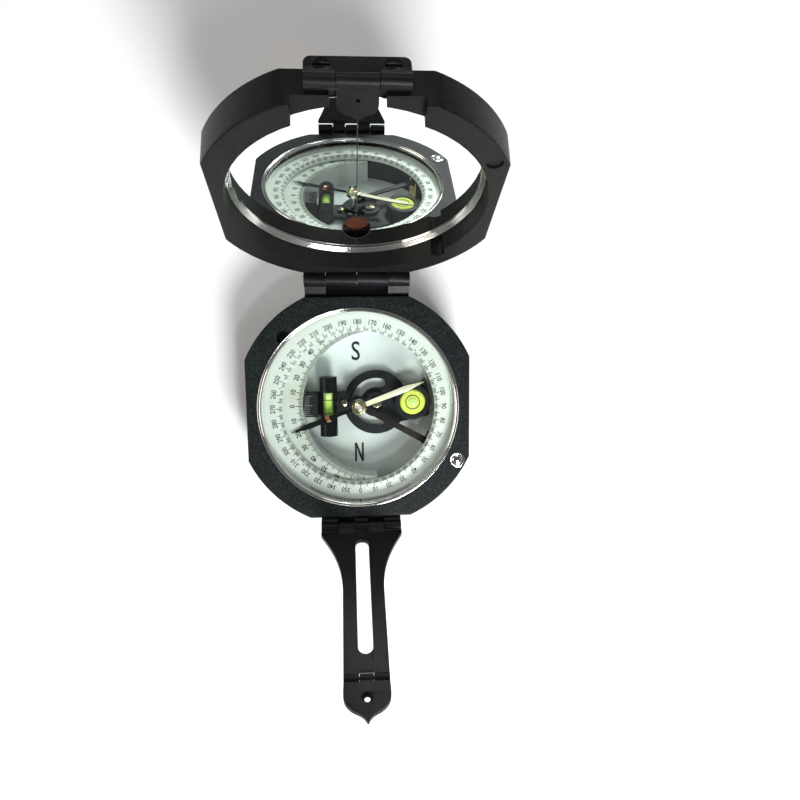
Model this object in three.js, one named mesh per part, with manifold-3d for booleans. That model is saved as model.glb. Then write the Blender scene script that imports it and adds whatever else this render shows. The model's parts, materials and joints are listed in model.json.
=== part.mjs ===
// Sighting compass: a pocket transit with a mirror lid, a slotted sight arm and a clinometer.
// Millimetres, +Z up, +Y towards the lid's hinge. The needle turns about the Z axis and the case
// stands on z = 0. The lid's parts are laid out as if it were shut, and the sight arm's as if it
// lay straight out, and their groups turn them to where they rest.
import * as THREE from "three";
import { mergeVertices } from "three/addons/utils/BufferGeometryUtils.js";
import Module from "manifold-3d";

const wasm = await Module();
wasm.setup();

// Case and lid outline: a circle cut by four flats
const ACROSS_FLATS = 70;
const OUTLINE_RADIUS = 38.47;
const EDGE = 0.45;
const CASE_HEIGHT = 20;
const LID_BOTTOM = CASE_HEIGHT + 0.1;
const LID_TOP = CASE_HEIGHT + 9.4;
const PRY_NOTCH_RADIUS = 2.1;

// Heights inside the case
const RECESS_TOP = 3.2;
const FLOOR_TOP = 5.8;
const DIAL_TOP = 6.9;
const CARRIER_BOTTOM = 7.7;
const CARRIER_TOP = 8.9;
const SCALE_BOTTOM = 14.2;
const SCALE_TOP = 15;
const RING_LEDGE = 15;
const RING_TOP = 17;
const GLASS_LEDGE = 17.4;
const INDEX_TOP = 17.65;
const GASKET_TOP = 18;
const GLASS_TOP = 19.4;
const BEZEL_TOP = 20.3;

// Radii inside the case
const CAVITY_RADIUS = 29.9;
const RING_BORE = 30.7;
const GLASS_BORE = 31.8;
const DIAL_RADIUS = 26.4;
const SCALE_OUTER = 27.3;

// The clinometer turns about its own axle, beside the needle's pivot. Its scale is centred there.
const AXLE = { x: 5.7, y: 0.5 };
const SCALE_INNER = 23.6;
const WALL = { inner: 23.65, outer: 24.35 };

// Declination drive: crown teeth under the azimuth ring and a pinion on a radial screw
const MODULE = 0.6;
const RING_TEETH = 95;
const PINION_TEETH = 10;
const PITCH_HEIGHT = 14.9;
const PINION_PITCH_RADIUS = (MODULE * PINION_TEETH) / 2;
const PINION_Z = PITCH_HEIGHT - PINION_PITCH_RADIUS;
const DRIVE_RADIUS = (MODULE * RING_TEETH) / 2;

// Lid
const LID_CAVITY_RADIUS = 32.3;
const LID_CAVITY_TOP = CASE_HEIGHT + 7.6;
const WINDOW = { y: 20.4, halfWidth: 3.9, halfLength: 5.55 };
const ARM_NOTCH = { halfWidth: 13.9, top: CASE_HEIGHT + 2.7 };
const PEEP_NOTCH = { halfWidth: 5.9, top: CASE_HEIGHT + 5.5 };
const LID_OPEN = 115.34;
const LID_AXIS = { y: 40.43, z: 21.08, barrel: 2.45, pin: 1 };
const LEAF_THICKNESS = 1.4;

// Sight arm and its tip
const ARM_RAISED = 62.4;
const ARM_AXIS = { y: -38, z: 20.5, barrel: 1.7, pin: 0.8 };
const ARM_THICKNESS = 1.5;
const ARM_TOP = ARM_AXIS.z - 0.05;
const ARM_BOTTOM = ARM_TOP - ARM_THICKNESS;
const ARM_ROOT_HALF = 12.8;
const ARM_HALF = 6.05;
const TIP_AXIS = { y: ARM_AXIS.y - 53, z: ARM_TOP - ARM_THICKNESS / 2, barrel: 1.2, pin: 0.5 };
const TIP_START = TIP_AXIS.y - 1.3;
const TIP_POINT = ARM_AXIS.y - 65;
const TONGUE_GAP = 1.95;

// Peep sight on the lid's far end
const PEEP_AXIS = { y: -37.3, z: CASE_HEIGHT + 4.3, barrel: 1.6, pin: 0.6 };
const PEEP_HALF = 4.35;
const PEEP_LENGTH = 11;

// Lock button and lift lever, on a line from the needle's pivot to the button
const BUTTON = { x: 31.07, y: -17.14, radius: 1.7, top: 20.5 };
const LEVER_ANGLE = (Math.atan2(BUTTON.y, BUTTON.x) * 180) / Math.PI;
const LEVER_Z = 12.9;
const LEVER_FULCRUM = 26.6;
const LEVER_THICKNESS = 0.6;

// Running clearance between a pin or shaft and its hole
const RUNNING = 0.05;
const ROUND = 16;
const TURNED = 60;

// ---------- materials ----------

function material(color, roughness, metalness) {
  return new THREE.MeshStandardMaterial({ color, roughness, metalness });
}

const blackPaint = material(0x17191b, 0.55, 0.3);
const blackMetal = material(0x1d1c1b, 0.4, 0.6);
const chrome = material(0xd9d6cc, 0.15, 1);
const steel = material(0xb9bcc0, 0.3, 1);
const brass = material(0xc9a35b, 0.28, 1);
const copper = material(0xb46a42, 0.35, 1);
const whitePlate = material(0xe6f0ea, 0.45, 0);
const creamPaint = material(0xf1ebd0, 0.5, 0);
const clearGlass = material(0xdfeeea, 0.05, 0);
const silvered = material(0xccd6d2, 0.04, 1);
const vialGreen = material(0xb9dc3a, 0.1, 0);
const rubber = material(0x202020, 0.8, 0);
const ruby = material(0xd8c7d8, 0.1, 0);

// ---------- solids ----------

// A closed three.js geometry as a manifold solid.
function solid(geometry) {
  geometry.deleteAttribute("normal");
  geometry.deleteAttribute("uv");
  const merged = mergeVertices(geometry, 1e-4);
  const mesh = new wasm.Mesh({
    numProp: 3,
    vertProperties: merged.attributes.position.array,
    triVerts: new Uint32Array(merged.index.array),
  });
  return new wasm.Manifold(mesh);
}

function join(...solids) {
  return solids.reduce((whole, piece) => whole.add(piece));
}

function block(x0, x1, y0, y1, z0, z1) {
  const box = new THREE.BoxGeometry(x1 - x0, y1 - y0, z1 - z0);
  return solid(box.translate((x0 + x1) / 2, (y0 + y1) / 2, (z0 + z1) / 2));
}

// A profile of [radius, z] points turned about the Z axis.
function turned(profile, segments = TURNED) {
  const points = [...profile, profile[0]].map(([r, z]) => new THREE.Vector2(r, z));
  return solid(new THREE.LatheGeometry(points, segments).rotateX(Math.PI / 2));
}

function disc(radius, z0, z1, segments = TURNED) {
  const upright = new THREE.CylinderGeometry(radius, radius, z1 - z0, segments);
  return solid(upright.rotateX(Math.PI / 2).translate(0, 0, (z0 + z1) / 2));
}

function ring(inner, outer, z0, z1, segments = TURNED) {
  return disc(outer, z0, z1, segments).subtract(disc(inner, z0 - 1, z1 + 1, segments));
}

// A round bar along X, centred on a [y, z] line.
function barX(radius, x0, x1, y, z, segments = ROUND) {
  const upright = new THREE.CylinderGeometry(radius, radius, x1 - x0, segments);
  return solid(upright.rotateZ(Math.PI / 2).translate((x0 + x1) / 2, y, z));
}

// A round bar along Y, centred on an [x, z] line.
function barY(radius, y0, y1, x, z, segments = ROUND) {
  const upright = new THREE.CylinderGeometry(radius, radius, y1 - y0, segments);
  return solid(upright.translate(x, (y0 + y1) / 2, z));
}

// A flat outline raised from z0 to z1.
function plate(shape, z0, z1, curveSegments = 12) {
  const options = { depth: z1 - z0, bevelEnabled: false, curveSegments };
  return solid(new THREE.ExtrudeGeometry(shape, options).translate(0, 0, z0));
}

// A [y, z] outline carried along X from x0 to x1.
function rail(points, x0, x1) {
  const shape = new THREE.Shape(points.map(([y, z]) => new THREE.Vector2(y, z)));
  const raised = new THREE.ExtrudeGeometry(shape, { depth: x1 - x0, bevelEnabled: false });
  const upright = new THREE.Matrix4().makeBasis(
    new THREE.Vector3(0, 1, 0),
    new THREE.Vector3(0, 0, 1),
    new THREE.Vector3(1, 0, 0),
  );
  return solid(raised.applyMatrix4(upright).translate(x0, 0, 0));
}

// A wire wound about the Z axis, with an oval section where the two radii differ.
class Winding extends THREE.Curve {
  constructor(radiusX, radiusY, z0, z1, turns) {
    super();
    Object.assign(this, { radiusX, radiusY, z0, z1, turns });
  }

  getPoint(t, target = new THREE.Vector3()) {
    const angle = 2 * Math.PI * this.turns * t;
    const z = this.z0 + (this.z1 - this.z0) * t;
    return target.set(this.radiusX * Math.cos(angle), this.radiusY * Math.sin(angle), z);
  }
}

function wire(curve, radius, steps) {
  const section = new THREE.Shape().absarc(0, 0, radius, 0, 2 * Math.PI);
  const options = { steps, extrudePath: curve, curveSegments: 3, bevelEnabled: false };
  return solid(new THREE.ExtrudeGeometry(section, options));
}

// ---------- the scene graph ----------

const compass = new THREE.Group();

function add(group, name, part, finish) {
  const { vertProperties, triVerts } = part.getMesh();
  const indexed = new THREE.BufferGeometry();
  indexed.setAttribute("position", new THREE.BufferAttribute(vertProperties, 3));
  indexed.setIndex(new THREE.BufferAttribute(triVerts, 1));
  const geometry = indexed.toNonIndexed();
  geometry.computeVertexNormals();
  const mesh = new THREE.Mesh(geometry, finish);
  mesh.name = name;
  group.add(mesh);
}

// A group whose parts are turned about an axis along X by some degrees.
function hinged(parent, axis, degrees) {
  const turning = new THREE.Group();
  turning.position.set(0, axis.y, axis.z);
  turning.rotation.x = THREE.MathUtils.degToRad(degrees);
  const unmoved = new THREE.Group();
  unmoved.position.set(0, -axis.y, -axis.z);
  turning.add(unmoved);
  parent.add(turning);
  return unmoved;
}

// ---------- case ----------

function caseOutline() {
  const flat = ACROSS_FLATS / 2;
  const corner = Math.acos(flat / OUTLINE_RADIUS);
  const shape = new THREE.Shape();
  for (let side = 0; side < 4; side += 1) {
    const start = (side * Math.PI) / 2 + corner;
    const end = ((side + 1) * Math.PI) / 2 - corner;
    shape.absarc(0, 0, OUTLINE_RADIUS, start, end);
  }
  return shape;
}

function shellBlank(z0, z1) {
  const options = {
    depth: z1 - z0 - 2 * EDGE,
    bevelThickness: EDGE,
    bevelSize: EDGE,
    bevelOffset: -EDGE,
    bevelSegments: 2,
    curveSegments: 7,
  };
  return solid(new THREE.ExtrudeGeometry(caseOutline(), options).translate(0, 0, z0 + EDGE));
}

function backRecess() {
  const reach = 21.4;
  const armRoom = 3;
  const sweep = disc(reach, -1, RECESS_TOP, 48);
  const frontHalf = block(-reach, reach, -reach, armRoom, -2, RECESS_TOP + 1);
  return sweep.intersect(frontHalf).add(disc(7.1, -1, RECESS_TOP, 40)).translate(AXLE.x, AXLE.y, 0);
}

function buttonWell() {
  const steps = [
    disc(2.55, 17.1, CASE_HEIGHT + 1, ROUND),
    disc(2.4, 14.4, 17.2, ROUND),
    disc(1.75, 8.5, 14.5, ROUND),
  ];
  return join(...steps).translate(BUTTON.x, BUTTON.y, 0);
}

const HINGE_SCREW_X = 11;
const ARM_SCREW_X = 9.5;
const CASE_SCREW_Z = 12.5;
const LID_SCREW_Z = CASE_HEIGHT + 5.9;
const PEEP_SCREW = { x: 7.2, z: CASE_HEIGHT + 7.75 };

function screwHolesY(x, z, y0, y1) {
  return join(barY(0.95, y0, y1, x, z, 12), barY(0.95, y0, y1, -x, z, 12));
}

function baseCase() {
  const leverSlot = block(28.5, 37.1, -1.5, 1.5, 11.4, 14.4).rotate([0, 0, LEVER_ANGLE]);
  const declinationHole = join(
    barX(1.2 + RUNNING, 28, 36, 0, PINION_Z),
    barX(2.9, 33.2, 36, 0, PINION_Z, 24),
  );
  const cuts = [
    disc(CAVITY_RADIUS, FLOOR_TOP, CASE_HEIGHT + 1),
    disc(RING_BORE, RING_LEDGE, CASE_HEIGHT + 1),
    disc(GLASS_BORE, GLASS_LEDGE, CASE_HEIGHT + 1),
    disc(PRY_NOTCH_RADIUS, 17.6, CASE_HEIGHT + 1, ROUND).translate(-22.9, 22.6, 0),
    disc(2.9, 0, FLOOR_TOP + 1, 24).translate(AXLE.x, AXLE.y, 0),
    backRecess(),
    buttonWell(),
    leverSlot,
    declinationHole,
    screwHolesY(HINGE_SCREW_X, CASE_SCREW_Z, 30.4, 36),
    screwHolesY(ARM_SCREW_X, CASE_SCREW_Z, -36, -31.2),
  ];
  return cuts.reduce((rest, cut) => rest.subtract(cut), shellBlank(0, CASE_HEIGHT));
}

// The half of the case round the axle that lies away from the round level.
function scaleSide(z0, z1) {
  return block(-40, AXLE.x, -40, 40, z0, z1);
}

// Room in the dial plate's edge for the lever's bracket
function bracketNotch() {
  return block(LEVER_FULCRUM - 1.6, LEVER_FULCRUM + 2, -2.4, 2.4, 0, DIAL_TOP + 1)
    .rotate([0, 0, LEVER_ANGLE]);
}

// The white dial plate, with a half-round wall that carries the clinometer scale.
function dialPlate() {
  const floor = disc(DIAL_RADIUS, FLOOR_TOP + 0.02, DIAL_TOP).subtract(bracketNotch());
  const wall = ring(WALL.inner, WALL.outer, FLOOR_TOP + 0.02, SCALE_BOTTOM - 0.02)
    .translate(AXLE.x, AXLE.y, 0)
    .intersect(scaleSide(0, CASE_HEIGHT));
  return join(floor, wall)
    .subtract(disc(PIVOT.foot + RUNNING, 0, 10, 24))
    .subtract(disc(3, 0, 10, 24).translate(AXLE.x, AXLE.y, 0));
}

// A crescent: its outside is centred on the case and its inside on the axle.
function clinometerScale() {
  const inside = disc(SCALE_INNER, 0, CASE_HEIGHT, 120).translate(AXLE.x, AXLE.y, 0);
  return disc(SCALE_OUTER, SCALE_BOTTOM, SCALE_TOP, 96)
    .intersect(scaleSide(0, CASE_HEIGHT))
    .subtract(inside);
}

function crownTooth() {
  const root = RING_LEDGE + 0.7;
  const tip = PITCH_HEIGHT - 0.4;
  const outline = [[-0.5, root], [-0.3, tip], [0.3, tip], [0.5, root]];
  return rail(outline, DRIVE_RADIUS - 0.9, DRIVE_RADIUS + 0.9);
}

function azimuthRing() {
  const body = turned([
    [24.3, RING_LEDGE + 0.4],
    [29.7, RING_LEDGE + 0.4],
    [29.95, RING_LEDGE + 0.05],
    [30.62, RING_LEDGE + 0.05],
    [30.62, RING_TOP],
    [25.2, RING_TOP],
    [24.3, RING_TOP - 0.9],
  ]);
  const tooth = crownTooth();
  const teeth = [];
  for (let i = 0; i < RING_TEETH; i += 1) {
    teeth.push(tooth.rotate([0, 0, ((i + 0.5) * 360) / RING_TEETH]));
  }
  return wasm.Manifold.union([body, ...teeth]);
}

// The pinion's screw lies along X, with its slotted head in the case's right flat.
function declinationScrew() {
  const root = PINION_PITCH_RADIUS - 0.7;
  const tip = PINION_PITCH_RADIUS + 0.35;
  const outline = [
    [-0.5, 0],
    [0.5, 0],
    [0.5, root],
    [0.2, tip],
    [-0.2, tip],
    [-0.5, root],
  ];
  const tooth = rail(outline, 27.6, 29.4);
  const pieces = [
    barX(root, 27.6, 29.4, 0, 0),
    barX(1.2, 27.6, 33.5, 0, 0),
    barX(2.7, 33.3, 34.8, 0, 0, 24),
  ];
  for (let i = 0; i < PINION_TEETH; i += 1) {
    pieces.push(tooth.rotate([(i * 360) / PINION_TEETH, 0, 0]));
  }
  const slot = block(34.1, 35, -3, 3, -0.35, 0.35);
  return join(...pieces).subtract(slot).translate(0, 0, PINION_Z);
}

function buttonCollar() {
  return ring(BUTTON.radius + RUNNING, 2.5, 17.15, CASE_HEIGHT, ROUND).translate(BUTTON.x, BUTTON.y, 0);
}

function lockButton() {
  const profile = [
    [0, 13.3],
    [0.8, 13.3],
    [0.8, 15.9],
    [2.25, 15.9],
    [2.25, 17],
    [BUTTON.radius, 17],
    [BUTTON.radius, BUTTON.top - 0.4],
    [BUTTON.radius - 0.4, BUTTON.top],
    [0, BUTTON.top],
  ];
  return turned(profile, ROUND).translate(BUTTON.x, BUTTON.y, 0);
}

function buttonSpring() {
  const winding = new Winding(1.15, 1.15, 8.85, 12.3, 4.5);
  return wire(winding, 0.2, 45).translate(BUTTON.x, BUTTON.y, 0);
}

function liftLever() {
  const half = LEVER_THICKNESS / 2;
  const blade = new THREE.Shape();
  blade.moveTo(3.1, -0.8);
  blade.lineTo(22, -1.1);
  blade.lineTo(36.3, -1.1);
  blade.lineTo(36.3, 1.1);
  blade.lineTo(22, 1.1);
  blade.lineTo(3.1, 0.8);
  const hub = barY(1, -1.1, 1.1, LEVER_FULCRUM, LEVER_Z, 16);
  const eye = barY(0.5 + RUNNING, -2, 2, LEVER_FULCRUM, LEVER_Z, 16);
  const bar = plate(blade, LEVER_Z - half, LEVER_Z + half);
  return join(bar, hub).subtract(eye).rotate([0, 0, LEVER_ANGLE]);
}

function leverBracket() {
  const inner = LEVER_FULCRUM - 1.3;
  const outer = LEVER_FULCRUM + 1.3;
  const body = block(inner, outer, -2.1, 2.1, FLOOR_TOP + 0.02, LEVER_Z + 1);
  const gap = block(inner - 1, outer + 1, -1.25, 1.25, 11.3, LEVER_Z + 2);
  const eye = barY(0.5 + RUNNING, -3, 3, LEVER_FULCRUM, LEVER_Z, 16);
  return body.subtract(gap).subtract(eye).rotate([0, 0, LEVER_ANGLE]);
}

function leverPin() {
  return barY(0.5, -2.1, 2.1, LEVER_FULCRUM, LEVER_Z, 16).rotate([0, 0, LEVER_ANGLE]);
}

// ---------- hinges ----------

// Barrel knuckles and webs of one hinge leaf: spans are [x0, x1] pairs.
function knuckles(axis, spans, web) {
  const pieces = spans.map(([x0, x1]) => join(
    barX(axis.barrel, x0, x1, axis.y, axis.z),
    rail(web, x0, x1),
  ));
  return join(...pieces);
}

function pinHole(axis, reach) {
  return barX(axis.pin + RUNNING, -reach, reach, axis.y, axis.z);
}

function hingePin(axis, reach) {
  return barX(axis.pin, -reach, reach, axis.y, axis.z);
}

const LID_HINGE_HALF = 16;
const LID_KNUCKLE_SEAM = 9.45;
const SEAM = 0.1;

function lidHingeBaseLeaf() {
  const face = ACROSS_FLATS / 2;
  const back = face + LEAF_THICKNESS;
  const { y, z } = LID_AXIS;
  const web = [[face, 14], [back, 14], [y + 2, z - 1.45], [y, z], [y - 2, z - 1.1], [face, 18.5]];
  const spans = [
    [-LID_HINGE_HALF, -LID_KNUCKLE_SEAM - SEAM],
    [LID_KNUCKLE_SEAM + SEAM, LID_HINGE_HALF],
  ];
  const leaf = block(-LID_HINGE_HALF, LID_HINGE_HALF, face, back, 9, 17.6);
  const shelf = block(-LID_HINGE_HALF, LID_HINGE_HALF, face, y - 1.7, 16.2, 17.6);
  return join(leaf, shelf, knuckles(LID_AXIS, spans, web))
    .subtract(pinHole(LID_AXIS, 20))
    .subtract(countersinksY(HINGE_SCREW_X, CASE_SCREW_Z, face, back));
}

function lidHingeLidLeaf() {
  const face = ACROSS_FLATS / 2 + 0.1;
  const back = face + LEAF_THICKNESS;
  const { y, z } = LID_AXIS;
  const web = [[face, 28], [face, 23.2], [y - 2, z + 1.1], [y, z], [y + 2, z + 1.45], [back, 28]];
  const spans = [
    [-LID_KNUCKLE_SEAM + SEAM, -SEAM],
    [SEAM, LID_KNUCKLE_SEAM - SEAM],
  ];
  const leaf = block(-LID_HINGE_HALF, LID_HINGE_HALF, face, back, 22.8, 28.5);
  return join(leaf, knuckles(LID_AXIS, spans, web))
    .subtract(pinHole(LID_AXIS, 20))
    .subtract(countersinksY(HINGE_SCREW_X, LID_SCREW_Z, face, back));
}

const ARM_KNUCKLES = { outer: 12.7, seam: 7.2, middle: 2.4 };

function armHingeLeaf() {
  const face = -ACROSS_FLATS / 2;
  const back = face - 1.2;
  const { y, z } = ARM_AXIS;
  const { outer, seam, middle } = ARM_KNUCKLES;
  const web = [[face, 15], [face, 18.6], [y + 0.9, z - 0.3], [y, z], [y - 1.3, z - 1], [back, 15]];
  const spans = [
    [-outer, -seam - SEAM],
    [-middle + SEAM, middle - SEAM],
    [seam + SEAM, outer],
  ];
  const leaf = block(-outer, outer, back, face, 9.5, 18.4);
  const shelf = block(-outer, outer, y - 3.2, face, 17.2, 18.4);
  return join(leaf, shelf, knuckles(ARM_AXIS, spans, web))
    .subtract(pinHole(ARM_AXIS, 20))
    .subtract(countersinksY(ARM_SCREW_X, CASE_SCREW_Z, face, back));
}

// Two countersunk holes along Y, through a leaf from its seat to its outer face.
function countersinksY(x, z, seat, outer) {
  const out = Math.sign(outer - seat);
  const span = [seat - out, outer + out].sort((a, b) => a - b);
  const heads = [outer - 0.85 * out, outer + out].sort((a, b) => a - b);
  return join(
    screwHolesY(x, z, ...span),
    barY(1.75, ...heads, x, z),
    barY(1.75, ...heads, -x, z),
  );
}

// A slotted screw along Y whose head lies just under the outer face.
function screwY(x, z, outer, out, length, headRadius = 1.7) {
  const top = outer - 0.05 * out;
  const under = top - 0.75 * out;
  const end = outer - length * out;
  const head = barY(headRadius, Math.min(top, under), Math.max(top, under), x, z);
  const shank = barY(0.85, Math.min(top, end), Math.max(top, end), x, z, 12);
  const slotSpan = [top - 0.4 * out, top + out].sort((a, b) => a - b);
  const slot = block(x - 3, x + 3, ...slotSpan, z - 0.25, z + 0.25);
  return join(head, shank).subtract(slot);
}

// ---------- lid ----------

function ovalWindow(z0, z1) {
  const shape = new THREE.Shape();
  shape.absellipse(0, WINDOW.y, WINDOW.halfWidth, WINDOW.halfLength, 0, 2 * Math.PI);
  return plate(shape, z0, z1, 16);
}

function lidShell() {
  const { halfWidth, top } = ARM_NOTCH;
  const far = -ACROSS_FLATS / 2 - 3;
  const cuts = [
    disc(LID_CAVITY_RADIUS, LID_BOTTOM - 1, LID_CAVITY_TOP),
    ovalWindow(LID_CAVITY_TOP - 1, LID_TOP + 1),
    block(-halfWidth, halfWidth, far, -26, LID_BOTTOM - 1, top),
    block(-PEEP_NOTCH.halfWidth, PEEP_NOTCH.halfWidth, far, -26, top - 1, PEEP_NOTCH.top),
    disc(PRY_NOTCH_RADIUS, LID_BOTTOM - 1, PEEP_NOTCH.top, ROUND).translate(22.5, 23, 0),
    disc(BUTTON.radius + 0.3, LID_BOTTOM - 1, BUTTON.top + 0.15, ROUND).translate(BUTTON.x, BUTTON.y, 0),
    screwHolesY(HINGE_SCREW_X, LID_SCREW_Z, 31.2, 36),
    screwHolesY(PEEP_SCREW.x, PEEP_SCREW.z, -36, -32),
  ];
  return cuts.reduce((rest, cut) => rest.subtract(cut), shellBlank(LID_BOTTOM, LID_TOP));
}

function mirrorPane() {
  return disc(LID_CAVITY_RADIUS - 0.15, CASE_HEIGHT + 6.4, LID_CAVITY_TOP - 0.1);
}

function mirrorRing() {
  const outer = LID_CAVITY_RADIUS - 0.1;
  const bottom = CASE_HEIGHT + 5.1;
  const step = CASE_HEIGHT + 5.7;
  const top = CASE_HEIGHT + 6.3;
  return turned([
    [31.5, bottom],
    [outer, bottom],
    [outer, top],
    [30.9, top],
    [30.9, step],
    [31.5, step],
  ]);
}

function peepMountPlate() {
  const face = -ACROSS_FLATS / 2 - 0.1;
  const { y, z } = PEEP_AXIS;
  const front = -37.8;
  const half = 10.8;
  const web = [[face, z + 3], [face, z - 0.6], [y, z - 0.9], [y - 1.2, z + 0.9], [front, z + 3]];
  const seam = PEEP_HALF + 0.12;
  const corner = 1.5;
  const top = LID_TOP + 0.4;
  const spans = [
    [-half, -seam],
    [seam, half],
  ];
  const bar = join(
    block(-half, half, front, face, z + 1.8, top - corner),
    block(corner - half, half - corner, front, face, z + 1.8, top),
    barY(corner, front, face, half - corner, top - corner),
    barY(corner, front, face, corner - half, top - corner),
  );
  return join(bar, knuckles(PEEP_AXIS, spans, web))
    .subtract(pinHole(PEEP_AXIS, 20))
    .subtract(countersinksY(PEEP_SCREW.x, PEEP_SCREW.z, face, front));
}

function peepSight() {
  const { y, z } = PEEP_AXIS;
  const shape = new THREE.Shape();
  shape.moveTo(-PEEP_HALF, y);
  shape.lineTo(-PEEP_HALF, y + 6.2);
  shape.quadraticCurveTo(-PEEP_HALF, y + 8.6, -1.5, y + 9.6);
  shape.lineTo(0, y + PEEP_LENGTH);
  shape.lineTo(1.5, y + 9.6);
  shape.quadraticCurveTo(PEEP_HALF, y + 8.6, PEEP_HALF, y + 6.2);
  shape.lineTo(PEEP_HALF, y);
  shape.holes.push(new THREE.Path().absarc(0, y + 5, 0.5, 0, 2 * Math.PI));
  const barrel = barX(PEEP_AXIS.barrel, -PEEP_HALF, PEEP_HALF, y, z);
  return join(plate(shape, z - 0.6, z + 0.6, 6), barrel).subtract(pinHole(PEEP_AXIS, 20));
}

// ---------- sight arm ----------

function sightArm() {
  const { y, z } = ARM_AXIS;
  const { seam, middle } = ARM_KNUCKLES;
  const slotHalf = 2.05;
  const flareEnd = y - 25;
  const armEnd = TIP_AXIS.y;
  const shape = new THREE.Shape();
  shape.moveTo(-ARM_ROOT_HALF, y - 2);
  shape.lineTo(-ARM_ROOT_HALF, y - 3);
  shape.bezierCurveTo(-10, y - 8, -ARM_HALF, y - 14.5, -ARM_HALF, flareEnd);
  shape.lineTo(-ARM_HALF, armEnd);
  shape.lineTo(ARM_HALF, armEnd);
  shape.lineTo(ARM_HALF, flareEnd);
  shape.bezierCurveTo(ARM_HALF, y - 14.5, 10, y - 8, ARM_ROOT_HALF, y - 3);
  shape.lineTo(ARM_ROOT_HALF, y - 2);
  const slot = new THREE.Path();
  slot.absarc(0, y - 5.6 - slotHalf, slotHalf, 0, Math.PI);
  slot.absarc(0, y - 46.3 + slotHalf, slotHalf, Math.PI, 2 * Math.PI);
  shape.holes.push(slot);
  const lug = [[y, z], [y - 1.2, z + 1.1], [y - 3, ARM_TOP], [y - 3, ARM_BOTTOM], [y, ARM_BOTTOM + 0.1]];
  const rootSpans = [
    [-seam + SEAM, -middle - SEAM],
    [middle + SEAM, seam - SEAM],
  ];
  const tipSpans = [
    [-ARM_HALF, -TONGUE_GAP],
    [TONGUE_GAP, ARM_HALF],
  ];
  const tipBars = tipSpans.map(([x0, x1]) => barX(TIP_AXIS.barrel, x0, x1, TIP_AXIS.y, TIP_AXIS.z));
  const gap = block(-TONGUE_GAP, TONGUE_GAP, armEnd - 3, armEnd + 1.9, ARM_BOTTOM - 1, ARM_TOP + 1);
  return join(plate(shape, ARM_BOTTOM, ARM_TOP), knuckles(ARM_AXIS, rootSpans, lug), ...tipBars)
    .subtract(pinHole(ARM_AXIS, 20))
    .subtract(pinHole(TIP_AXIS, 20))
    .subtract(gap);
}

function sightTip() {
  const half = ARM_HALF + 0.1;
  const eye = TIP_POINT + 6.3;
  const shape = new THREE.Shape();
  shape.moveTo(-ARM_HALF, TIP_START);
  shape.lineTo(-half, TIP_POINT + 8);
  shape.lineTo(-half, TIP_POINT + 7.2);
  shape.bezierCurveTo(-half, TIP_POINT + 4.6, -4.4, TIP_POINT + 3.2, -2.4, TIP_POINT + 2.3);
  shape.quadraticCurveTo(-0.8, TIP_POINT + 1.4, -0.2, TIP_POINT);
  shape.lineTo(0.2, TIP_POINT);
  shape.quadraticCurveTo(0.8, TIP_POINT + 1.4, 2.4, TIP_POINT + 2.3);
  shape.bezierCurveTo(4.4, TIP_POINT + 3.2, half, TIP_POINT + 4.6, half, TIP_POINT + 7.2);
  shape.lineTo(half, TIP_POINT + 8);
  shape.lineTo(ARM_HALF, TIP_START);
  const tongueHalf = TONGUE_GAP - 0.1;
  const tongue = block(-tongueHalf, tongueHalf, TIP_START - 1, TIP_AXIS.y, ARM_BOTTOM, ARM_TOP);
  const barrel = barX(TIP_AXIS.barrel, -tongueHalf, tongueHalf, TIP_AXIS.y, TIP_AXIS.z);
  const countersink = turned([[0, -2], [0.8, -2], [0.8, 0.6], [1.7, 1.6], [0, 1.6]], ROUND);
  return join(plate(shape, ARM_BOTTOM, ARM_TOP, 8), tongue, barrel)
    .subtract(pinHole(TIP_AXIS, 20))
    .subtract(countersink.translate(0, eye, ARM_BOTTOM));
}

// ---------- needle ----------

const NEEDLE_ANGLE = 21.7;
const NEEDLE_HALF = 23.3;
const NEEDLE_Z = 15.52;
const NEEDLE_THICKNESS = 0.35;

// Half a needle from the cap out to its point, widest part way along.
function needleBlade(rootHalf, wideHalf, wideAt) {
  const shape = new THREE.Shape();
  shape.moveTo(2.5, -rootHalf);
  shape.lineTo(wideAt, -wideHalf);
  shape.lineTo(NEEDLE_HALF, -0.08);
  shape.lineTo(NEEDLE_HALF, 0.08);
  shape.lineTo(wideAt, wideHalf);
  shape.lineTo(2.5, rootHalf);
  return plate(shape, NEEDLE_Z - NEEDLE_THICKNESS / 2, NEEDLE_Z + NEEDLE_THICKNESS / 2);
}

function needleCap() {
  return turned([
    [1.3, 14.7],
    [2.45, 14.7],
    [2.45, 16.1],
    [1.9, 16.75],
    [0.8, 16.75],
    [0.8, 16.35],
    [0.98, 16.35],
    [0.98, 15.55],
    [1.3, 15.55],
  ], 32);
}

function jewel() {
  const cup = turned([[0, 15.5], [0.35, 15.5], [0, 15.85]], 16);
  return disc(0.93, 15.55, 16.3, 16).subtract(cup);
}

function balanceCoil() {
  const winding = new Winding(0.5, 1.15, -0.65, 0.65, 3);
  const along = wire(winding, 0.14, 36).rotate([0, 90, 0]);
  return along.translate(-10.5, 0, NEEDLE_Z);
}

// ---------- clinometer ----------

const RING_PLATE_RADIUS = 10.6;
const AXLE_SCREW_HEAD = 1.7;
const ARM_SCREW = { x: -4.75, y: 0.6, head: 1.1 };
const PIVOT = { foot: 1.7, post: 0.6, cone: 13.8, point: 15.8 };
const BRIDGE_BOTTOM = CARRIER_TOP + 0.12;
const BRIDGE_TOP = CARRIER_TOP + 1.1;
const SLOT = { radius: 6.45, half: 1.55, from: 75, to: 282 };
const TUBE = { x: -9.75, z: 11.75, radius: 2.85, bore: 1.95, y0: -9.77, y1: 9.55 };
const ROUND_LEVEL = { x: 17.6, y: 0.7, housing: 5.85, vial: 4.15 };

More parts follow.
